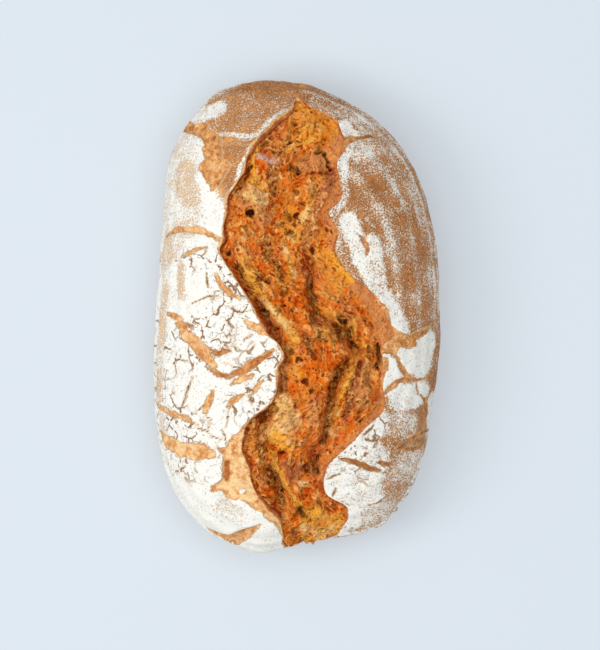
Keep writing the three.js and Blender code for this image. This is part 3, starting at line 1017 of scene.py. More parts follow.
    def columns(self) -> tuple[Array, Array, Array, Array, Array]:
        """Where each column of the mesh starts on a lip and where it reaches the edge of the base.

        Returns:
            x and y at the lip, x and y at the base's edge on the flattened surface, and x of the burst's spine.
        """
        share = np.arange(self.half_around) / self.half_around
        turn = np.linspace(-math.pi, math.pi, 2881)
        edge_x, edge_y = self.form.rim(turn) * np.cos(turn), self.form.rim(turn) * np.sin(turn)
        length = np.concatenate([[0], np.cumsum(np.hypot(np.diff(edge_x), np.diff(edge_y)))])
        total = length[-1]
        tip = np.interp(math.atan2(self.burst.top, 0.2), turn, length)
        foot = np.interp(math.atan2(self.burst.end, 6.0), turn, length)
        left_way = (foot - tip) % total
        left_angle = np.interp((tip + share * left_way) % total, length, turn)
        right_angle = np.interp((tip - (1 - share) * (total - left_way)) % total, length, turn)
        angle = np.concatenate([left_angle, right_angle])
        down = lerp(self.burst.top, self.burst.end, (1 - np.cos(math.pi * share)) / 2)
        up = lerp(self.burst.end, self.burst.top, (1 - np.cos(math.pi * share)) / 2)
        lip_y = np.concatenate([down, up])
        left, right = self.burst.left(lip_y), self.burst.right(lip_y)
        tips = np.isclose(lip_y, self.burst.top) | np.isclose(lip_y, self.burst.end)
        spine = (left + right) / 2
        on_left = np.arange(2 * self.half_around) < self.half_around
        jag = 0.55 * Noise.layered(lip_y, on_left * 300.0, 6, 71, 3) * smoothstep(right - left, 1, 8)
        lip_x = np.where(tips, spine, np.where(on_left, left, right) + jag)
        reach = self.form.spread(np.array([math.pi]))[0] * self.form.rim(angle)
        return lip_x, lip_y, reach * np.cos(angle), reach * np.sin(angle), spine

    def right_share(self, bent_x: Array, x: Array, y: Array, left_side: Array) -> Array:
        """How far each place belongs to the right crust, which meets the left one softly beyond the burst's ends.

        Args:
            bent_x: Across the flattened surface, pushed about by noise.
            x: Across the flattened surface.
            y: Along the flattened surface.
            left_side: Whether the place is left of the burst.

        Returns:
            From 0 on the left to 1 on the right.
        """
        past_tip = smoothstep(y, self.burst.top, self.burst.top + 14)
        past_end = smoothstep(-y, -self.burst.end - 6, -self.burst.end + 8)
        meeting = smoothstep(bent_x + 3 * Noise.layered(x, y, 9, 137, 3), -12, 14)
        return lerp(np.where(left_side, 0.0, 1.0), meeting, np.maximum(past_tip, past_end))

    def bared(self, bent_x: Array, bent_y: Array, toast: Array) -> tuple[Array, Array, Array]:
        """Where patches and tears have bared the skin.

        Args:
            bent_x: Across the flattened surface, pushed about by noise.
            bent_y: Along the flattened surface, pushed about by noise.
            toast: How brown the skin is round them.

        Returns:
            The distance to the nearest bare place, how brown the skin is, and how far it has sunk.
        """
        bare, sunk = np.full(toast.shape, FAR), np.zeros(toast.shape)
        for patch in self.patches:
            distance = patch_distance(bent_x, bent_y, self.form.flatten(patch.edge))
            nearer = (distance < np.minimum(bare, self.bare_fringe)) | (distance < 0)
            toast = np.where(nearer, patch.skin.value, toast)
            bare = np.minimum(bare, distance)
            sunk = np.maximum(sunk, patch.depth * smoothstep(-distance, -0.3, 1.2))
        for tear in self.tears:
            middle, along = self.spindle(bent_x, bent_y, self.form.flatten(tear.line))
            distance = middle - tear.width / 2 * along
            toast = np.where(distance < np.minimum(bare, self.bare_fringe), tear.skin.value, toast)
            bare = np.minimum(bare, distance)
            sunk = np.maximum(sunk, tear.depth * smoothstep(-distance, -0.4, 0.5 * tear.width))
        for island in self.islands:
            bare = np.maximum(bare, -patch_distance(bent_x, bent_y, self.form.flatten(island)))
        return bare, toast, sunk

    def dusted(self, bent_x: Array, bent_y: Array, flour: Array) -> Array:
        """The flour after each stroke of the baker's dusting.

        Args:
            bent_x: Across the flattened surface, pushed about by noise.
            bent_y: Along the flattened surface, pushed about by noise.
            flour: The flour before.

        Returns:
            The flour, from 0 for none to 1 for a full cover.
        """
        for dusting in self.dustings:
            distance = line_distance(bent_x, bent_y, self.form.flatten(dusting.line))
            flour = lerp(flour, dusting.flour, 1 - smoothstep(distance, 0.55 * dusting.reach, dusting.reach))
        return flour

    def striped(self, x: Array, y: Array, ring: Array, left_side: Array, flour: Array) -> Array:
        """The flour with the stripes that the proofing basket's cane left along the right crust.

        Args:
            x: Across the flattened surface.
            y: Along the flattened surface.
            ring: Length down the loaf's profile from the crown.
            left_side: Whether the place is left of the burst.
            flour: The flour before.

        Returns:
            The flour.
        """
        for stripe, strength in self.stripes:
            band = np.exp(-(((ring - stripe) / self.stripe_width) ** 2))
            band *= np.where(left_side, 0, 1) * smoothstep(y, -20, 10)
            flour += strength * band * (0.6 + 0.6 * Noise.smooth(x, y, 12, 8)) * (1 - smoothstep(flour, 0.6, 0.9))
        return flour

    def relief(self, x: Array, y: Array, from_lip: Array, left_side: Array) -> tuple[Array, dict[str, Array]]:
        """Height over the smooth loaf, and what the finish needs, at places on the flattened surface.

        Args:
            x: Across the flattened surface.
            y: Along the flattened surface.
            from_lip: Distance from the burst's lip.
            left_side: Whether the place is left of the burst.

        Returns:
            The heights, and the values to store by name.
        """
        bent_x, bent_y = Noise.bent(x, y, 1.1, 7, 3, 3)
        turn = self.form.turn_at(x, y)
        share = np.clip(turn / (math.pi / 2), 0, 1)
        ring = self.profile_length * share
        below = 1 - smoothstep(turn, 1.75, 2.5)
        right_share = self.right_share(bent_x, x, y, left_side)
        toast = lerp(self.left_toast, self.right_toast, right_share)
        crown = lerp(self.left_toast, self.crown_toast, smoothstep(x + 0.55 * (y - 60), -42, -28))
        toast = np.where((y > 60) & left_side, crown, toast)
        bare, toast, sunk = self.bared(bent_x, bent_y, toast)
        fray = from_lip - 0.5 + 0.7 * Noise.layered(x, y, 3, 109, 3)
        frayed = (fray < np.minimum(bare, self.bare_fringe)) & left_side
        toast = lerp(self.base_toast, np.where(frayed, Skin.TAN.value, toast), below)
        bare = np.where(left_side, np.minimum(bare, fray), bare)
        crack = np.full(x.shape, FAR)
        for line in self.cracks:
            middle, along = self.spindle(bent_x, bent_y, self.form.flatten(line))
            crack = np.minimum(crack, middle - self.crack_width / 2 * along)
        flour = self.dusted(bent_x, bent_y, lerp(self.left_flour, self.right_flour, right_share))
        flour = self.striped(x, y, ring, left_side, flour) + 0.22 * Noise.layered(x, y, 14, 13, 5)
        flour = lerp(self.base_flour, np.clip(flour, 0, 1.05), below)
        crackle = smoothstep(flour, 0.6, 0.85) * smoothstep(Noise.smooth(x, y, 26, 19), -0.5, 0.2) * below
        crackle *= np.where(left_side, smoothstep(38 - y, 0, 10) * smoothstep(y, -88, -78), smoothstep(-40 - y, 0, 12))
        curl = np.where(left_side, self.left_curl, self.right_curl) * np.exp(-from_lip / self.curl_reach)
        curl *= smoothstep(self.burst.top - y, 0, 12) * smoothstep(y, self.burst.end, -100)
        rings = self.basket_depth * np.cos(2 * math.pi * ring / self.basket_pitch) * smoothstep(share, 0.35, 0.6)
        lumps = self.lump_height * Noise.layered(x, y, 22, 23) + 0.3 * Noise.layered(x, y, 5, 29)
        grain = self.grain_height * Noise.layered(x, y, 1.8, 37, 2)
        height = self.form.swell(x, y) + curl - 0.5 * np.exp(-from_lip / 0.5)
        height += (rings + lumps + grain + self.flour_height * flour) * below - sunk
        height -= self.crack_depth * (1 - smoothstep(crack, -0.3, 0.7))
        values = {"bare": bare, "toast": toast, "crack": crack, "flour": flour, "crackle": crackle}
        # hollow: how much painted shade the deeper sunk patches and tears get.
        values["hollow"] = smoothstep(sunk, 1.4, 3.4) * 0.55
        return height * (1 - smoothstep(turn, 2.2, 2.9)), values

    @staticmethod
    def spindle(x: Array, y: Array, line: Line) -> tuple[Array, Array]:
        """Distance to a line, and a fullness that is 1 along its middle and falls to 0 at its ends.

        Args:
            x: Across the flattened surface.
            y: Along the flattened surface.
            line: The points of the line.

        Returns:
            The distances and the fullness.
        """
        ends = np.hypot(x - line[0][0], y - line[0][1]), np.hypot(x - line[-1][0], y - line[-1][1])
        length = sum(math.dist(a, b) for a, b in zip(line, line[1:]))
        return line_distance(x, y, line), np.sqrt(np.clip(np.minimum(*ends) / (0.4 * length), 0, 1))

    def shape(self, column: Array, ring: Array) -> tuple[Array, dict[str, Array]]:
        """Places and values of the crust's points.

        Args:
            column: Each point's column, from the burst's tip down its left lip and up its right.
            ring: Each point's ring, from the spine of the burst over wall, lip and rim to the base's middle.

        Returns:
            The places in millimetres and the stored values.
        """
        lip_x, lip_y, edge_x, edge_y, spine = (part[column] for part in self.columns())
        left_side = column < self.half_around
        first = len(self.wall)
        step = np.clip((ring - first - 1) / (self.over_rings - 1), 0, 1) ** self.row_power
        way = np.hypot(edge_x - lip_x, edge_y - lip_y)
        x, y = lerp(lip_x, edge_x, step), lerp(lip_y, edge_y, step)
        height, values = self.relief(x, y, step * way, left_side)
        undercut, drop = np.zeros(x.shape), np.zeros(x.shape)
        for i, (out, down) in enumerate(self.wall):
            undercut = np.where(ring == 1 + i, out, undercut)
            drop = np.where(ring == 1 + i, down, drop)
        slope = np.clip(0.45 + 1.1 * Noise.smooth(lip_y, left_side * 200.0, 9, 91), 0.1, 1.3)
        undercut *= smoothstep(self.burst.right(lip_y) - self.burst.left(lip_y), 1, 9) * slope
        x += undercut * (edge_x - lip_x) / way
        y += undercut * (edge_y - lip_y) / way
        on_spine = ring == 0
        x, y = np.where(on_spine, spine, x), np.where(on_spine, lip_y, y)
        height = np.where(on_spine, -self.floor_depth, height - drop)
        places = self.form.place(x, y, height)
        last = first + self.over_rings
        inward = np.clip((ring - last) / self.base_rings, 0, 1)[:, None]
        places = np.where(inward > 0, places * [1, 1, 0], places) * np.where(inward > 0, 1 - inward, 1)
        in_wall = ring <= first
        values["bare"] = np.where(in_wall, -2.0, values["bare"])
        values["toast"] = np.where(in_wall, np.where(left_side, *self.wall_toast), values["toast"])
        # The walls get painted shade, more where they drop deeper beside the crumb.
        wall_shade = np.where(left_side, 0.35 + 0.18 * drop, 0.3 + 0.1 * drop)
        values["hollow"] = np.where(in_wall, np.clip(wall_shade, 0, 1), values["hollow"])
        return places, values

    def build(self) -> bpy.types.Object:
        """The crust as a finished piece."""
        rings = len(self.wall) + self.over_rings + self.base_rings
        piece = lay_piece("crust", 2 * self.half_around, rings, self.shape)
        piece.data.materials.append(self.finish.build())
        return piece


@dataclass(frozen=True)
class TornCrumb:
    """Crumb that tore in the oven and browned: golden threads and pale crests, whose paleness is painted highlight,
    over rust-red and olive hollows darkened with painted shade.
    """

    # strand: golden thread colour, also laid on raised places as painted highlight and on the rims of holes.
    strand: Colour = paint(248, 172, 76)
    # Partly painted shade and partly random dark grain: the factor that darkens low places of the crumb.
    shade_and_grain_dark: Colour = (0.52, 0.18, 0.03, 1.0)
    # pore: dark spots of tiny pores, painted shade inside them.
    pore: Colour = paint(112, 36, 4)
    # floor: the colour of pit floors, painted shade in the pits and in the gaps between strands.
    floor: Colour = paint(116, 54, 8)
    # Painted highlight for the crests and glints.
    crest_highlight: Colour = paint(255, 216, 150)
    film: Colour = paint(216, 140, 84)
    broad_size: float = 7.0
    fibre_size: float = 3.4
    middle_size: float = 2.8
    pore_size: float = 1.7
    glint_size: float = 1.2
    fine_size: float = 1.1
    roughness: float = 0.6
    gloss: float = 0.04

    def build(self) -> bpy.types.Material:
        """The material: the painted bake, with painted shade and highlight by relief and random grain, then pores
        darkened as painted shade, threads, and glints and crests as painted highlights.
        """
        recipe = Recipe("torn_crumb")
        tone, pit, web = recipe.attribute("tone"), recipe.attribute("pit"), recipe.attribute("web")
        film, smooth = recipe.attribute("film"), recipe.attribute("smooth")
        bent, flow = recipe.warped(5.0, 1.8), recipe.direction("flow")
        middle, fine = recipe.noise(self.middle_size, 2, 0.55, 11, bent), recipe.noise(self.fine_size, 3, 0.75, 29)
        broad, fibre = recipe.noise(self.broad_size, 2, 0.5, 3, bent), recipe.noise(self.fibre_size, 3, 0.65, 5, flow)
        crisp = (broad.step(0.46, 0.52) - 0.5) * 0.14 + (middle.step(0.46, 0.53) - 0.5) * 0.26
        gritty = (fine - 0.5) * (0.7 + broad.step(0.42, 0.6) * 1.0)
        spots = crisp + (middle - 0.5) * 0.9 + (fibre.step(0.4, 0.58) - 0.5) * 0.3 + gritty
        # shade: the painted shade and highlight of tone, with random grain on it.
        shade = tone + spots * (1 - smooth * 0.3)
        colour = recipe.mix(recipe.direction("bake"), self.film, film * (middle + fine - 0.5).step(0.3, 0.6) * 0.5)
        # Painted shade in low places, with random dark grain.
        colour = recipe.darken(colour, self.shade_and_grain_dark, (0 - shade).step(0.07, 0.7))
        # Painted highlight: lighter towards the strand colour where the relief tone is high, with random grain.
        colour = recipe.mix(colour, self.strand, shade.step(0.02, 0.6) * 0.6)
        # Painted shade on the floors of pits and gaps.
        colour = recipe.mix(colour, self.floor, pit * (fine + middle).step(0.7, 1.1) * 0.6)
        grainy = recipe.noise(self.broad_size, 2, 0.5, 91).step(0.38, 0.52) * (1 - smooth * 0.4)
        # pores: painted shade of tiny pores, in grainy places.
        pores = recipe.noise(self.pore_size, 1, 0.5, 97, bent).step(0.6, 0.66) * grainy
        # glints: small painted highlights.
        glints = recipe.noise(self.glint_size, 1, 0.5, 113).step(0.62, 0.7) * (1 - pores) * 0.4
        colour = recipe.mix(colour, self.pore, pores * 0.75)
        # Golden threads, and painted highlight on the rims of holes and pores.
        colour = recipe.mix(colour, self.strand, web * 0.6)
        # Painted highlights on the glints and on crests where tone and threads are high.
        colour = recipe.mix(colour, self.crest_highlight, glints.larger((shade + web * 0.3).step(0.35, 0.85)) * 0.55)
        relief = middle * 1.2 + crisp * 0.8 + fibre * 0.9 + fine * 0.6 + broad * 0.8 - pores * 0.5
        return recipe.finish(colour, self.roughness + middle * 0.2, relief, self.gloss)


@dataclass
class Crumb:
    """The torn crumb between the lips, as a closed ribbon that runs on a little way under the crust."""

    form: LoafForm
    burst: Burst
    around: int = 176
    rings: int = 560
    top_share: float = 0.9
    margin: float = 3.0
    margin_dive: float = 3.0
    left_drop: float = 2.4
    right_drop: float = 1.0
    drop_reach: float = 0.34
    level: float = -1.6
    tip_drop: float = 1.8
    under_depth: float = 12.0
    sway: float = 1.6
    sway_length: float = 26.0
    crag_height: float = 1.3
    strand_height: float = 3.2
    strand_size: float = 8.5
    film_size: float = 8.5
    rim_width: float = 0.45
    finish: TornCrumb = field(default_factory=TornCrumb)
    creases: tuple[tuple[float, float, Line], ...] = (
        (-7.5, 2.6, ((5, 27), (7, 13), (13, 0), (22, -8), (29, -17))),
        (-8.5, 2.8, ((29, -17), (21, -31), (16.5, -43), (15, -54), (12, -64), (9, -74))),
        (-8.0, 2.8, ((-19, -49), (-18, -59), (-16, -70), (-12.5, -80), (-9, -90), (-8, -98))),
        (-4.0, 3.0, ((-33, 31), (-26, 21), (-20, 8), (-14, -2), (-9, -9))),
        (3.6, 3.0, ((-29, 34), (-22, 20), (-14, 7), (-6, -3), (1, -12))),
        (-3.5, 3.6, ((-14, 76), (-12, 62), (-11, 48))),
        (3.2, 2.6, ((28, -21), (25, -34), (22, -48))),
        (2.6, 6.0, ((35, -24), (34, -38), (28, -50))),
        (3.6, 8.0, ((-4, -46), (-2, -60))),
        (2.6, 4.0, ((-7, -78), (-1, -88), (4, -95))),
        (2.4, 5.0, ((-24, 60), (-22, 50))),
        (2.2, 4.0, ((16, 68), (10, 50), (4, 38))),
        (-3.0, 2.4, ((41, -16), (41, -26), (39, -36))),
        (-3.2, 2.4, ((10, 84), (15, 82), (16.5, 76))),
        (4.2, 2.0, ((-5, -119), (-4.6, -123))),
    )
    holes: tuple[tuple[float, float, float, float], ...] = (
        (-23.5, 52, 2.2, 5.0), (10.5, 66.5, 1.0, 2.4), (-6, 53, 1.4, 2.4), (0, 51, 1.9, 2.8), (-8, 46.5, 1.4, 2.2),
        (-1.5, 46, 1.1, 2.0), (-3.5, 42, 1.5, 2.2), (2, 57.5, 1.3, 2.0), (-6.5, 64, 1.0, 1.8), (-1, 99, 1.3, 2.0),
        (9.5, 97, 1.1, 1.8), (-4, 91.5, 1.6, 2.0), (-3.5, 88.5, 1.5, 2.0), (-13, 91, 1.4, 2.0), (-12.5, 86.5, 1.2, 1.8),
        (-16, 88.5, 1.1, 1.6), (0, 62.5, 1.7, 1.6), (-18.5, 49, 0.9, 1.6), (15, 44, 1.0, 1.6), (17, 43, 1.0, 1.6),
        (-34.5, 32, 1.3, 2.4), (-29.5, 34, 1.2, 2.2), (-27, 24, 1.3, 2.0), (-14, 18, 2.0, 2.4), (-13.5, 9, 1.0, 1.8),
        (-4, 8.5, 1.0, 1.6), (-2, 3.5, 1.1, 2.0), (0.2, 2, 0.9, 1.6), (-10.5, -6.5, 1.4, 2.4), (36.5, -16.5, 1.4, 2.0),
        (1, -22, 1.9, 2.4), (4, -33, 2.2, 1.8), (7.5, -38, 1.6, 3.5), (12.5, -29.5, 0.8, 1.4), (13, -45, 0.9, 1.6),
        (14.5, 25, 0.9, 1.4), (19, 23.5, 1.0, 1.4), (29.5, 10.5, 0.9, 1.2), (-6.5, 37, 1.3, 2.0), (7.5, 33, 1.8, 2.4),
        (26.5, -48, 1.0, 1.4), (37.5, -36, 1.1, 1.4), (-3, -18, 1.8, 2.4), (17.5, -68.5, 1.1, 1.6), (8, 27, 1.4, 1.8),
    )
    # Strokes of Bake.DARK are painted shade in the crevices and holes, and the other dark strokes that sink are partly
    # painted shade too.
    strokes: tuple[Stroke, ...] = (
        Stroke(Bake.GOLD, 11, ((4, 108), (3, 98), (12, 96))),
        Stroke(Bake.FIRE, 5, ((-9, 97), (-14, 91), (-17, 86))),
        Stroke(Bake.RED, 2.4, ((-15, 92), (-17, 87), (-14, 85))),
        Stroke(Bake.OLIVE, 2.4, ((-5, 90), (-5, 84)), -0.8),
        Stroke(Bake.YELLOW, 1.2, ((-8, 82), (-3, 86), (3, 88.5), (10, 90)), 0.8),
        Stroke(Bake.BROWN, 2.2, ((-11, 84.5), (-8, 83)), -0.8),
        Stroke(Bake.LILAC, 2.6, ((-19, 81.5), (-15, 79.5), (-10, 79)), 0.9),
        Stroke(Bake.LILAC, 1.8, ((-14, 78), (-12.5, 76)), 0.5),
        Stroke(Bake.PLUM, 3.6, ((-12.5, 74), (-12, 69), (-11.5, 63)), -0.6),
        Stroke(Bake.FIRE, 2.4, ((-19, 76), (-17, 72))),
        Stroke(Bake.YELLOW, 1.6, ((-19.5, 88), (-22, 81), (-22.5, 75), (-21, 70)), 0.8),
        Stroke(Bake.YELLOW, 3.6, ((-22, 69), (-18, 66))),
        Stroke(Bake.PALE, 1.3, ((-24.5, 66.5), (-20, 63.5), (-15, 61.5)), 1.0),
        Stroke(Bake.BROWN, 1.9, ((-24, 75), (-27, 69), (-30, 64)), -1.8),
        Stroke(Bake.DARK, 2.2, ((-30.5, 62.5), (-29.5, 59.5)), -1.4),
        Stroke(Bake.PINK, 7, ((-25, 60), (-20, 55), (-17, 51)), 0.6),
        Stroke(Bake.PALE, 3.2, ((-25, 61), (-16, 58.5)), 0.3),
        Stroke(Bake.ORANGE, 3.6, ((-32, 52), (-30, 44))),
        Stroke(Bake.RUST, 2.8, ((-12, 60), (-12, 52), (-11, 43)), -1.6),
        Stroke(Bake.SKIN, 6, ((3, 79), (11, 77), (13, 82))),
        Stroke(Bake.BROWN, 2.4, ((-4, 75.5), (0, 74)), -2.0),
        Stroke(Bake.DARK, 0.9, ((0.3, 75.4), (1.2, 73.6), (0, 72)), -1.0),
        Stroke(Bake.DARK, 1.0, ((9, 83), (13, 84), (15, 80.5), (16.6, 75)), -1.6),
        Stroke(Bake.RED, 1.2, ((6, 73), (11, 72.5), (16, 73)), -0.5),
        Stroke(Bake.YELLOW, 2.4, ((9.5, 63), (6, 56), (3.5, 49), (1.5, 43), (-1, 38)), 1.2),
        Stroke(Bake.PALE, 1.3, ((5, 54), (3, 48)), 0.4),
        Stroke(Bake.OLIVE, 2.0, ((8, 66), (9.5, 61)), -0.8),
        Stroke(Bake.MAUVE, 3.8, ((17.5, 70), (13, 61), (9, 52), (6, 44), (4, 37))),
        Stroke(Bake.GOLD, 4.2, ((-4, 57), (-4, 49), (-5, 44))),
        Stroke(Bake.OLIVE, 2.6, ((-5, 51), (-3, 49.5)), -0.8),
        Stroke(Bake.OLIVE, 2.6, ((-4.5, 42), (-2, 40)), -0.8),
        Stroke(Bake.FIRE, 3.6, ((-34, 44), (-33, 36), (-28, 40))),
        Stroke(Bake.PINK, 1.8, ((-26, 45), (-22, 41.5)), 0.7),
        Stroke(Bake.OLIVE, 1.6, ((-28, 45), (-25, 41.5)), -1.2),
        Stroke(Bake.PINK, 2.8, ((-27, 34), (-24, 30.5)), 0.9),
        Stroke(Bake.RED, 1.3, ((-24.5, 29), (-23.5, 25)), -1.0),
        Stroke(Bake.OLIVE, 3.2, ((-15.5, 40), (-15, 30)), -2.0),
        Stroke(Bake.BROWN, 1.2, ((-15.5, 33), (-15, 30)), -1.0),
        Stroke(Bake.OLIVE, 2.6, ((-10, 27), (-8.5, 20), (-6.5, 12)), -1.6),
        Stroke(Bake.OLIVE, 2.8, ((-19.5, 21), (-17, 17)), -0.8),
        Stroke(Bake.PALE, 2.0, ((-7, 36), (-5, 32.5)), 0.4),
        Stroke(Bake.YELLOW, 3.0, ((-4, 29), (-2, 20))),
        Stroke(Bake.PALE, 1.6, ((-2.5, 24), (-1, 20)), 0.5),
        Stroke(Bake.RUST, 4.2, ((1, 33), (4, 28))),
        Stroke(Bake.RED, 2.0, ((3, 27), (5, 22), (7, 18)), -1.6),
        Stroke(Bake.GOLD, 7, ((14, 29), (22, 19), (18, 13))),
        Stroke(Bake.YELLOW, 1.5, ((18, 32), (22, 26), (28, 18)), 0.4),
        Stroke(Bake.BROWN, 3.0, ((-30, 25), (-25, 18))),
        Stroke(Bake.RED, 2.4, ((-26, 14), (-22, 10), (-19, 5), (-16, 0), (-13, -6), (-9, -13)), -1.2),
        Stroke(Bake.YELLOW, 3.0, ((-27, 29), (-21, 14), (-15, 6.5), (-11, 2), (-7, -3), (-3, -7.5), (0, -12)), 1.2),
        Stroke(Bake.PALE, 1.8, ((-17, 8), (-11, 2), (-7, -3), (-3, -7.5)), 0.6),
        Stroke(Bake.DARK, 1.4, ((-17, 3.5), (-14, 1)), -2.4),
        Stroke(Bake.DARK, 1.3, ((-9, 5.5), (-6.5, 5.5)), -2.2),
        Stroke(Bake.OLIVE, 3.4, ((8, 8), (9, 2), (9, -3), (12, -6)), -1.5),
        Stroke(Bake.DARK, 1.9, ((7, 18), (6.5, 13.5), (8.5, 9)), -3.0),
        Stroke(Bake.DARK, 1.2, ((10, 2), (13, 0), (15.5, -2.5)), -1.6),
        Stroke(Bake.YELLOW, 1.2, ((10, 13), (15, 11), (19, 9.5), (24, 5)), 0.9),
        Stroke(Bake.YELLOW, 1.3, ((11, 5.5), (16, 2.5), (20, 0), (24, 1.5)), 0.9),
        Stroke(Bake.RED, 1.1, ((20, 8), (24, 5), (28, 1)), -0.6),
        Stroke(Bake.GOLD, 3.0, ((15, -6), (17, -12))),
        Stroke(Bake.OLIVE, 5.6, ((23, -3), (25, -8), (20, -9)), -2.6),
        Stroke(Bake.DARK, 1.6, ((21.5, -2.8), (25, -3)), -1.0),
        Stroke(Bake.DARK, 1.3, ((27, -6), (27.3, -9.5)), -1.0),
        Stroke(Bake.YELLOW, 1.3, ((28.5, 0), (29, -8), (29.8, -12), (33, -14.5), (38, -16)), 1.2),
        Stroke(Bake.DARK, 2.2, ((11.5, -10), (14, -11)), -1.5),
        Stroke(Bake.OLIVE, 2.4, ((4.5, -9.5), (6, -13), (7, -18), (9, -20)), -2.0),
        Stroke(Bake.DARK, 1.2, ((5.5, -12), (7, -17)), -1.0),
        Stroke(Bake.FIRE, 5, ((12, -18), (20, -19))),
        Stroke(Bake.DARK, 2.2, ((28, -14), (30, -17)), -2.0),
        Stroke(Bake.RUST, 1.3, ((30, 6), (35, -2), (40, -12)), -0.5),
        Stroke(Bake.DARK, 1.3, ((41.6, -15), (41.3, -20), (41, -26)), -1.5),
        Stroke(Bake.BROWN, 3.4, ((-5, -16), (-7.5, -28), (-8, -39)), -1.2),
        Stroke(Bake.RUST, 3.0, ((-10, -41), (-6, -42)), -0.5),
        Stroke(Bake.GOLD, 3.6, ((-3, -27), (2, -30)), 0.4),
        Stroke(Bake.SKIN, 5, ((8, -44), (8, -54))),
        Stroke(Bake.OLIVE, 3.0, (
            (25, -23), (21, -28), (18, -35), (17, -42), (16.5, -50), (14.5, -56), (13, -63)), -1.5),
        Stroke(Bake.DARK, 1.6, ((22, -28.5), (19.5, -31.5)), -1.6),
        Stroke(Bake.DARK, 1.1, ((16.5, -36), (15.5, -43), (15.5, -49)), -1.6),
        Stroke(Bake.DARK, 1.6, ((14.5, -54), (17, -54)), -1.6),
        Stroke(Bake.DARK, 1.7, ((13.4, -60), (12.4, -63.5)), -1.4),
        Stroke(Bake.YELLOW, 3.0, ((29, -19), (29, -26), (26, -31), (24.5, -37), (22, -43), (20, -49)), 1.0),
        Stroke(Bake.FIRE, 1.2, ((24, -39), (22, -46), (21, -49)), -0.5),
        Stroke(Bake.RED, 1.1, ((26, -37), (25, -43)), -0.8),
        Stroke(Bake.MAUVE, 2.8, ((33, -24), (29, -34), (28, -42), (24, -52))),
        Stroke(Bake.PINK, 4.6, ((36, -27), (33, -44))),
        Stroke(Bake.RUST, 1.4, ((42, -30), (40.5, -40), (37, -48), (30, -53)), -0.4),
        Stroke(Bake.PALE, 8.0, ((-8, -45), (-4, -51), (-8, -57)), 0.4),
        Stroke(Bake.YELLOW, 5.4, ((-13, -60), (-4, -64)), 0.4),
        Stroke(Bake.OLIVE, 3.6, ((-12, -46), (-17.5, -52), (-18.5, -60), (-17.5, -68)), -0.8),
        Stroke(Bake.RUST, 4.0, ((-22, -52), (-24.5, -62), (-22, -72), (-20, -84), (-14, -96), (-7, -104))),
        Stroke(Bake.RED, 1.8, ((-21, -51), (-25, -58), (-26, -66)), -0.8),
        Stroke(Bake.SKIN, 2.4, ((-19, -82), (-16, -85))),
        Stroke(Bake.DARK, 1.5, ((-19, -65), (-17.5, -73)), -1.2),
        Stroke(Bake.RED, 1.2, ((-2.5, -42.5), (0, -46)), -0.6),
        Stroke(Bake.FIRE, 3.0, ((5, -57), (11, -61))),
        Stroke(Bake.FIRE, 2.6, ((-11, -71), (-6, -71))),
        Stroke(Bake.DARK, 1.1, ((-9, -69), (-7, -68.8)), -1.8),
        Stroke(Bake.PINK, 2.6, ((-4, -62.5), (2, -63.5))),
        Stroke(Bake.PALE, 1.9, ((17, -58), (19, -60))),
        Stroke(Bake.MAUVE, 4.6, ((-4, -75), (1, -76), (-2, -80.5)), 0.7),
        Stroke(Bake.BROWN, 3.0, ((-17, -74), (-14, -80), (-12, -86)), -1.0),
        Stroke(Bake.DARK, 2.3, ((-11.5, -77), (-10, -83), (-9, -89), (-9, -93), (-8, -97)), -2.0),
        Stroke(Bake.YELLOW, 2.4, ((-13, -70), (-9, -78), (-6, -86), (-3, -91), (2, -94)), 1.2),
        Stroke(Bake.BROWN, 3.8, ((5.5, -76.5), (9, -77.5)), -2.5),
        Stroke(Bake.DARK, 1.5, ((9, -78.5), (11, -79)), -1.0),
        Stroke(Bake.DARK, 1.4, ((11, -70), (10.5, -73)), -1.0),
        Stroke(Bake.FIRE, 3.0, ((3, -88), (7, -91))),
        Stroke(Bake.PALE, 1.8, ((2, -84), (4.5, -85)), 0.4),
        Stroke(Bake.RUST, 4.4, ((11.5, -86), (12.5, -92), (19, -96))),
        Stroke(Bake.YELLOW, 9, ((8, -102), (9, -112), (19, -106))),
        Stroke(Bake.PALE, 4.2, ((4, -108), (12, -112), (19, -108))),
        Stroke(Bake.OLIVE, 2.8, ((1.5, -99), (1.8, -101.5)), -2.5),
        Stroke(Bake.DARK, 1.2, ((1.5, -99.5), (1.8, -101)), -0.8),
        Stroke(Bake.FIRE, 1.5, ((11, -106), (12, -107.5))),
        Stroke(Bake.FIRE, 1.3, ((6, -110.5), (7, -112))),
        Stroke(Bake.FIRE, 1.5, ((17, -99), (17, -103))),
        Stroke(Bake.OLIVE, 2.2, ((-2, -109), (-1, -112))),
        Stroke(Bake.GOLD, 1.9, ((-5, -113), (-5.2, -118))),
    )
    shards: tuple[tuple[float, float, float, float, float, int], ...] = (
        (7.0, 1.2, 0.06, 1.2, 0.5, 61), (3.6, 0.9, 0.14, 1.3, 0.45, 67), (2.2, 0.5, 0.2, 1.0, 0.4, 73),
    )
    skin_edge: Line = (
        (10, 116), (14, 104), (17, 92), (15, 82), (17, 75), (19, 70), (16, 60), (12, 50), (16, 40), (14, 28),
        (24, 16), (30, 10), (37, 0), (41, -12), (41, -20), (40, -35), (38, -46), (30, -57), (20, -66), (12, -76),
        (9, -85), (12, -93), (20, -96), (34, -100), (60, -60), (60, 60), (40, 116),
    )

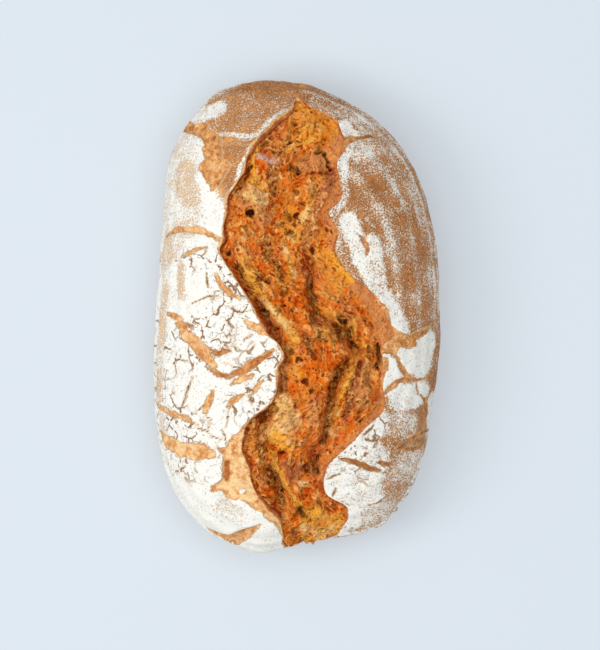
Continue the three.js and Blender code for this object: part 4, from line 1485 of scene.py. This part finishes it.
    def folds(self, x: Array, y: Array) -> tuple[Array, Array]:
        """The creases and mounds that the solid has too, and the crags that run over them.

        Args:
            x: Across the flattened surface.
            y: Along the flattened surface.

        Returns:
            The heights of the folds, and of the crags from about -1 to 1.
        """
        bent_x = x + self.sway * waves(x, y, self.sway_length, 5)
        bent_y = y + self.sway * waves(x, y, self.sway_length, 8)
        folds = np.zeros(x.shape)
        for rise, width, line in self.creases:
            folds += rise * np.exp(-((line_distance(bent_x, bent_y, line) / width) ** 2))
        return folds, 1 - 1.4 * np.abs(waves(bent_x * 1.25, bent_y * 0.8, 17, 11))

    def hollows(self, bent_x: Array, bent_y: Array) -> tuple[Array, Array]:
        """The holes that gas left.

        Args:
            bent_x: Across the flattened surface, pushed about by noise.
            bent_y: Along the flattened surface, pushed about by noise.

        Returns:
            The heights of the holes, and how near each place is to a rim, from 0 to 1, for a painted highlight.
        """
        holes, rim_highlight = np.zeros(bent_x.shape), np.zeros(bent_x.shape)
        for hole_x, hole_y, radius, depth in self.holes:
            reach = np.hypot(bent_x - hole_x, bent_y - hole_y) / radius
            holes -= depth * np.clip(1 - reach**2, 0, 1) ** 0.6
            rim_highlight = np.maximum(rim_highlight, np.exp(-(((reach - 1.2) * radius / self.rim_width) ** 2)))
        return holes, rim_highlight

    def baked(self, bent_x: Array, bent_y: Array, patchy: Array, smooth: Array,
              holes: Array) -> tuple[Array, Array]:
        """The bake of each place, laid on stroke by stroke.

        Args:
            bent_x: Across the flattened surface, pushed about by noise.
            bent_y: Along the flattened surface, pushed about by noise.
            patchy: How fully the strokes cover each place.
            smooth: How smooth each place is, which starts from a paler bake.
            holes: The heights of the holes, whose floors get painted shade.

        Returns:
            The colours, one a row, and how far the strokes raise each place.
        """
        colours = {bake: np.array(bake.value[:3]) for bake in Bake}
        bake = lerp(colours[Bake.ORANGE], colours[Bake.SKIN], smooth[:, None])
        raised = np.zeros(bent_x.shape)
        for stroke in self.strokes:
            distance = line_distance(bent_x, bent_y, self.form.flatten(stroke.line))
            near = patchy * (1 - smoothstep(distance, 0.5 * stroke.reach, stroke.reach))
            bake = lerp(bake, colours[stroke.bake], near[:, None])
            raised += stroke.rise * near
        # Painted shade in the holes: brown, then near-black deeper down.
        for floor, start in ((Bake.BROWN, 0.0), (Bake.DARK, 1.6)):
            bake = lerp(bake, colours[floor], 0.85 * smoothstep(-holes, start, start + 1.6)[:, None])
        return bake, raised

    def shattered(self, x: Array, y: Array, threaded: Array, pit: Array) -> tuple[Array, Array, Array, Array]:
        """Shards of three sizes with threads along their seams, some of them with a pore in the middle.

        Args:
            x: Across the flattened surface, pulled as the crumb tore.
            y: Along the flattened surface, pulled as the crumb tore.
            threaded: Where the seams have threads, from 0 to 1.
            pit: How hollow each place is before, from 0 to 1.

        Returns:
            The heights of the shards, the threads and the pale rings round the pores from 0 to 1, whose paleness is
            painted highlight, how hollow each place is, and each shard's own shift in tone.
        """
        steps, web, shift = np.zeros(x.shape), np.zeros(x.shape), np.zeros(x.shape)
        for size, rise, share, depth, line, seed in self.shards:
            near, seam, number = Noise.cells(x, y, size, seed)
            radius = size * (0.2 + 0.18 * number / share)
            bowl = np.where(number < share, np.clip(1 - (near / radius) ** 2, 0, 1) ** 0.5, 0)
            ring = np.where(number < share, np.exp(-(((near - 1.25 * radius) / line) ** 2)), 0)
            thread = np.exp(-((seam / line) ** 2)) * threaded
            steps += rise * (number - 0.5) + 0.3 * rise * np.maximum(ring, thread) - depth * bowl
            shift += number - 0.5
            web, pit = np.maximum(web, np.maximum(ring, 0.8 * thread)), np.maximum(pit, bowl)
        return steps, web, pit, shift

    def relief(self, x: Array, y: Array, across: Array, beyond: Array) -> tuple[Array, dict[str, Array]]:
        """Height over the smooth loaf and the finish's values.

        Args:
            x: Across the flattened surface.
            y: Along the flattened surface.
            across: From 0 at the left lip to 1 at the right one.
            beyond: How far outside the nearer lip.

        Returns:
            The heights, and the values to store by name.
        """
        from_left, from_right = smoothstep(across, 0, self.drop_reach), smoothstep(1 - across, 0, self.drop_reach)
        inner = np.minimum(from_left, from_right)
        base = lerp(-self.left_drop, self.level, from_left) + lerp(-self.right_drop - self.level, 0, from_right)
        open_share = smoothstep(self.burst.top - y, 0, 14) * smoothstep(y, self.burst.end, self.burst.end + 14)
        folds, crag = self.folds(x, y)
        bent_x, bent_y = Noise.bent(x, y, 1.7, 4, 41)
        holes, rim_highlight = self.hollows(bent_x, bent_y)
        smooth = smoothstep(-patch_distance(bent_x, bent_y, self.skin_edge), -1.5, 2.5)
        patchy = 0.8 + 0.2 * smoothstep(Noise.layered(x, y, 3.6, 127, 3), -0.3, 0.1)
        bake, raised = self.baked(bent_x, bent_y, patchy, smooth, holes)
        spine = (self.burst.left(y) + self.burst.right(y)) / 2
        pull_x = x - spine + 1.8 * Noise.layered(x, y, 10, 47)
        pull_y = y + 1.8 * Noise.layered(x, y, 10, 53)
        torn_x = pull_x + 1.6 * Noise.layered(x, y, 6, 101, 4)
        torn_y = pull_y * 0.7 + 1.6 * Noise.layered(x, y, 6, 103, 4)
        ridge = Noise.ridged(pull_x, pull_y * 0.55, self.strand_size, 59, 3)
        strands = self.strand_height * (ridge - 0.45)
        _, seam, number = Noise.cells(torn_x, torn_y, self.film_size, 61)
        film = smoothstep(number, 0.66, 0.7) * smoothstep(seam, 0.2, 1.0) * (1 - smooth)
        rough = (1 - 0.8 * smooth) * (1 - 0.6 * film)
        threaded = smoothstep(Noise.layered(x, y, 12, 97, 2), 0.05, 0.35)
        # gaps: low places between the strands, which get painted shade through pit.
        gaps = 0.8 * smoothstep(0.4 - ridge, 0, 0.22)
        steps, web, pit, shift = self.shattered(torn_x, torn_y, threaded, gaps)
        fine = 0.3 * Noise.layered(x, y, 2.2, 79, 2)
        texture = (strands + steps + fine) * rough + 0.25 * Noise.layered(x, y, 9, 83)
        crags = self.crag_height * crag * (0.35 + 0.65 * inner)
        torn = base + folds + holes + raised + crags + texture * (0.4 + 0.6 * inner)
        height = self.form.swell(x, y) + lerp(-self.tip_drop, torn, open_share)
        height -= self.margin_dive * beyond / self.margin
        # tone: painted shade in holes and low places and painted highlight on raised ones, from the relief, plus each
        # shard's own random shift in tone.
        tone = np.clip(0.09 * (steps * rough + strands * rough + 1.5 * holes), -0.5, 0.3) + 0.16 * shift * rough
        # Painted shade beside the left lip.
        tone -= 0.1 * (1 - smoothstep(across, 0.0, 0.1)) * (1 - smooth)
        # web: the threads' own golden colour, and painted highlight on the rims of holes and pores.
        web = np.maximum(web * rough, 0.7 * rim_highlight)
        values = {"tone": tone, "smooth": smooth, "pit": np.clip(pit * rough, 0, 1), "web": web, "film": film}
        values["bake"] = bake
        values["flow"] = np.stack([pull_x, pull_y * 0.4, np.zeros(x.shape)], 1)
        return height, values

    def shape(self, column: Array, ring: Array) -> tuple[Array, dict[str, Array]]:
        """Places and values of the crumb's points.

        Args:
            column: Each point's column, over the top from left to right and back underneath.
            ring: Each point's ring, from the tip of the burst to its end.

        Returns:
            The places in millimetres and the stored values.
        """
        top_columns = int(self.around * self.top_share)
        on_top = column <= top_columns
        share = np.where(on_top, column / top_columns, (self.around - column) / (self.around - top_columns))
        y = lerp(self.burst.top + self.margin, self.burst.end - self.margin, ring / self.rings)
        left, right = self.burst.left(y), self.burst.right(y)
        x = lerp(left - self.margin, right + self.margin, share)
        pole = (ring == 0) | (ring == self.rings)
        x = np.where(pole, (left + right) / 2, x)
        across = np.clip((x - left) / (right - left), 0, 1)
        beyond = np.clip(np.maximum(left - x, x - right), 0, self.margin)
        height, values = self.relief(x, y, across, beyond)
        return self.form.place(x, y, np.where(on_top & ~pole, height, -self.under_depth)), values

    def build(self) -> bpy.types.Object:
        """The crumb as a finished piece."""
        piece = lay_piece("crumb", self.around, self.rings, self.shape)
        piece.data.materials.append(self.finish.build())
        return piece


@dataclass(frozen=True)
class Backdrop:
    """Plain pale acrylic that the loaf lies on, lit a little from below as on a light table."""

    colour: Colour = paint(166, 172, 177)
    glow: Colour = paint(149, 156, 162)

    def build(self) -> bpy.types.Material:
        """The material."""
        recipe = Recipe("backdrop")
        recipe.shader.inputs["Emission Color"].default_value = self.glow
        recipe.shader.inputs["Emission Strength"].default_value = 1.0
        return recipe.finish(self.colour, 0.9)


@dataclass
class Studio:
    """The floor, the lights and the camera straight above."""

    floor_side: float = 6.0
    floor_gap: float = 0.0004
    lens: float = 500.0
    sensor: float = 36.0
    view_height: float = 0.330
    view_level: float = 0.04
    aim: tuple[float, float] = (0.0015, -0.0043)
    sky: float = 0.5
    ceiling_power: float = 32.0
    key_power: float = 12.0
    backdrop: Backdrop = field(default_factory=Backdrop)

    def floor(self) -> bpy.types.Object:
        """The floor, marked as no part of the loaf."""
        bm = bmesh.new()
        bmesh.ops.create_grid(bm, x_segments=1, y_segments=1, size=self.floor_side / 2)
        bmesh.ops.translate(bm, verts=bm.verts, vec=(0, 0, -self.floor_gap))
        mesh = bpy.data.meshes.new("floor")
        bm.to_mesh(mesh)
        bm.free()
        piece = bpy.data.objects.new("floor", mesh)
        mesh.materials.append(self.backdrop.build())
        bpy.context.scene.collection.objects.link(piece)
        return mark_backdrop(piece)

    @staticmethod
    def area(name: str, place: tuple[float, float, float], side: float, power: float,
             colour: tuple[float, float, float]) -> None:
        """Adds a square soft light that points at the loaf.

        Args:
            name: The light's name.
            place: Where it stands, in metres.
            side: Its side.
            power: Its power in watts.
            colour: Its colour.
        """
        light = bpy.data.lights.new(name, "AREA")
        light.shape = "SQUARE"
        light.size = side
        light.energy = power
        light.color = colour
        lamp = bpy.data.objects.new(name, light)
        lamp.location = place
        lamp.rotation_euler = (-Vector(place)).to_track_quat("-Z", "Y").to_euler()
        lamp.visible_camera = False
        bpy.context.scene.collection.objects.link(lamp)

    def build(self) -> None:
        """Sets up floor, sky, lights and camera."""
        self.floor()
        world = bpy.data.worlds.new("sky")
        world.use_nodes = True
        background = world.node_tree.nodes["Background"]
        background.inputs["Color"].default_value = (0.93, 0.96, 1.0, 1)
        background.inputs["Strength"].default_value = self.sky
        bpy.context.scene.world = world
        self.area("key", (-1.25, -0.15, 1.5), 0.8, self.key_power, (1.0, 0.985, 0.96))
        self.area("ceiling", (-0.05, -0.1, 2.4), 2.4, self.ceiling_power, (0.97, 0.985, 1.0))
        camera = bpy.data.cameras.new("camera")
        camera.lens = self.lens
        camera.sensor_width = self.sensor
        camera.clip_end = 100
        eye = bpy.data.objects.new("camera", camera)
        eye.location = (*self.aim, self.view_level + self.lens / self.sensor * self.view_height)
        bpy.context.scene.collection.objects.link(eye)
        bpy.context.scene.camera = eye
        bpy.context.scene.view_settings.view_transform = "Standard"


def main() -> None:
    """Builds the loaf in order and says what each piece came to."""
    logging.basicConfig(level=logging.INFO, format="%(message)s")
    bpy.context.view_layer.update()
    lower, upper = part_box("loaf")
    form = LoafForm(lower / METRES, upper / METRES)
    burst = Burst()
    for maker in (Crust(form, burst), Crumb(form, burst)):
        piece = maker.build()
        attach(piece, "root")
        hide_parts("loaf")
        log.info("%s: %d faces", piece.name, len(piece.data.polygons))
    Studio().build()


if __name__ == "__main__":
    main()
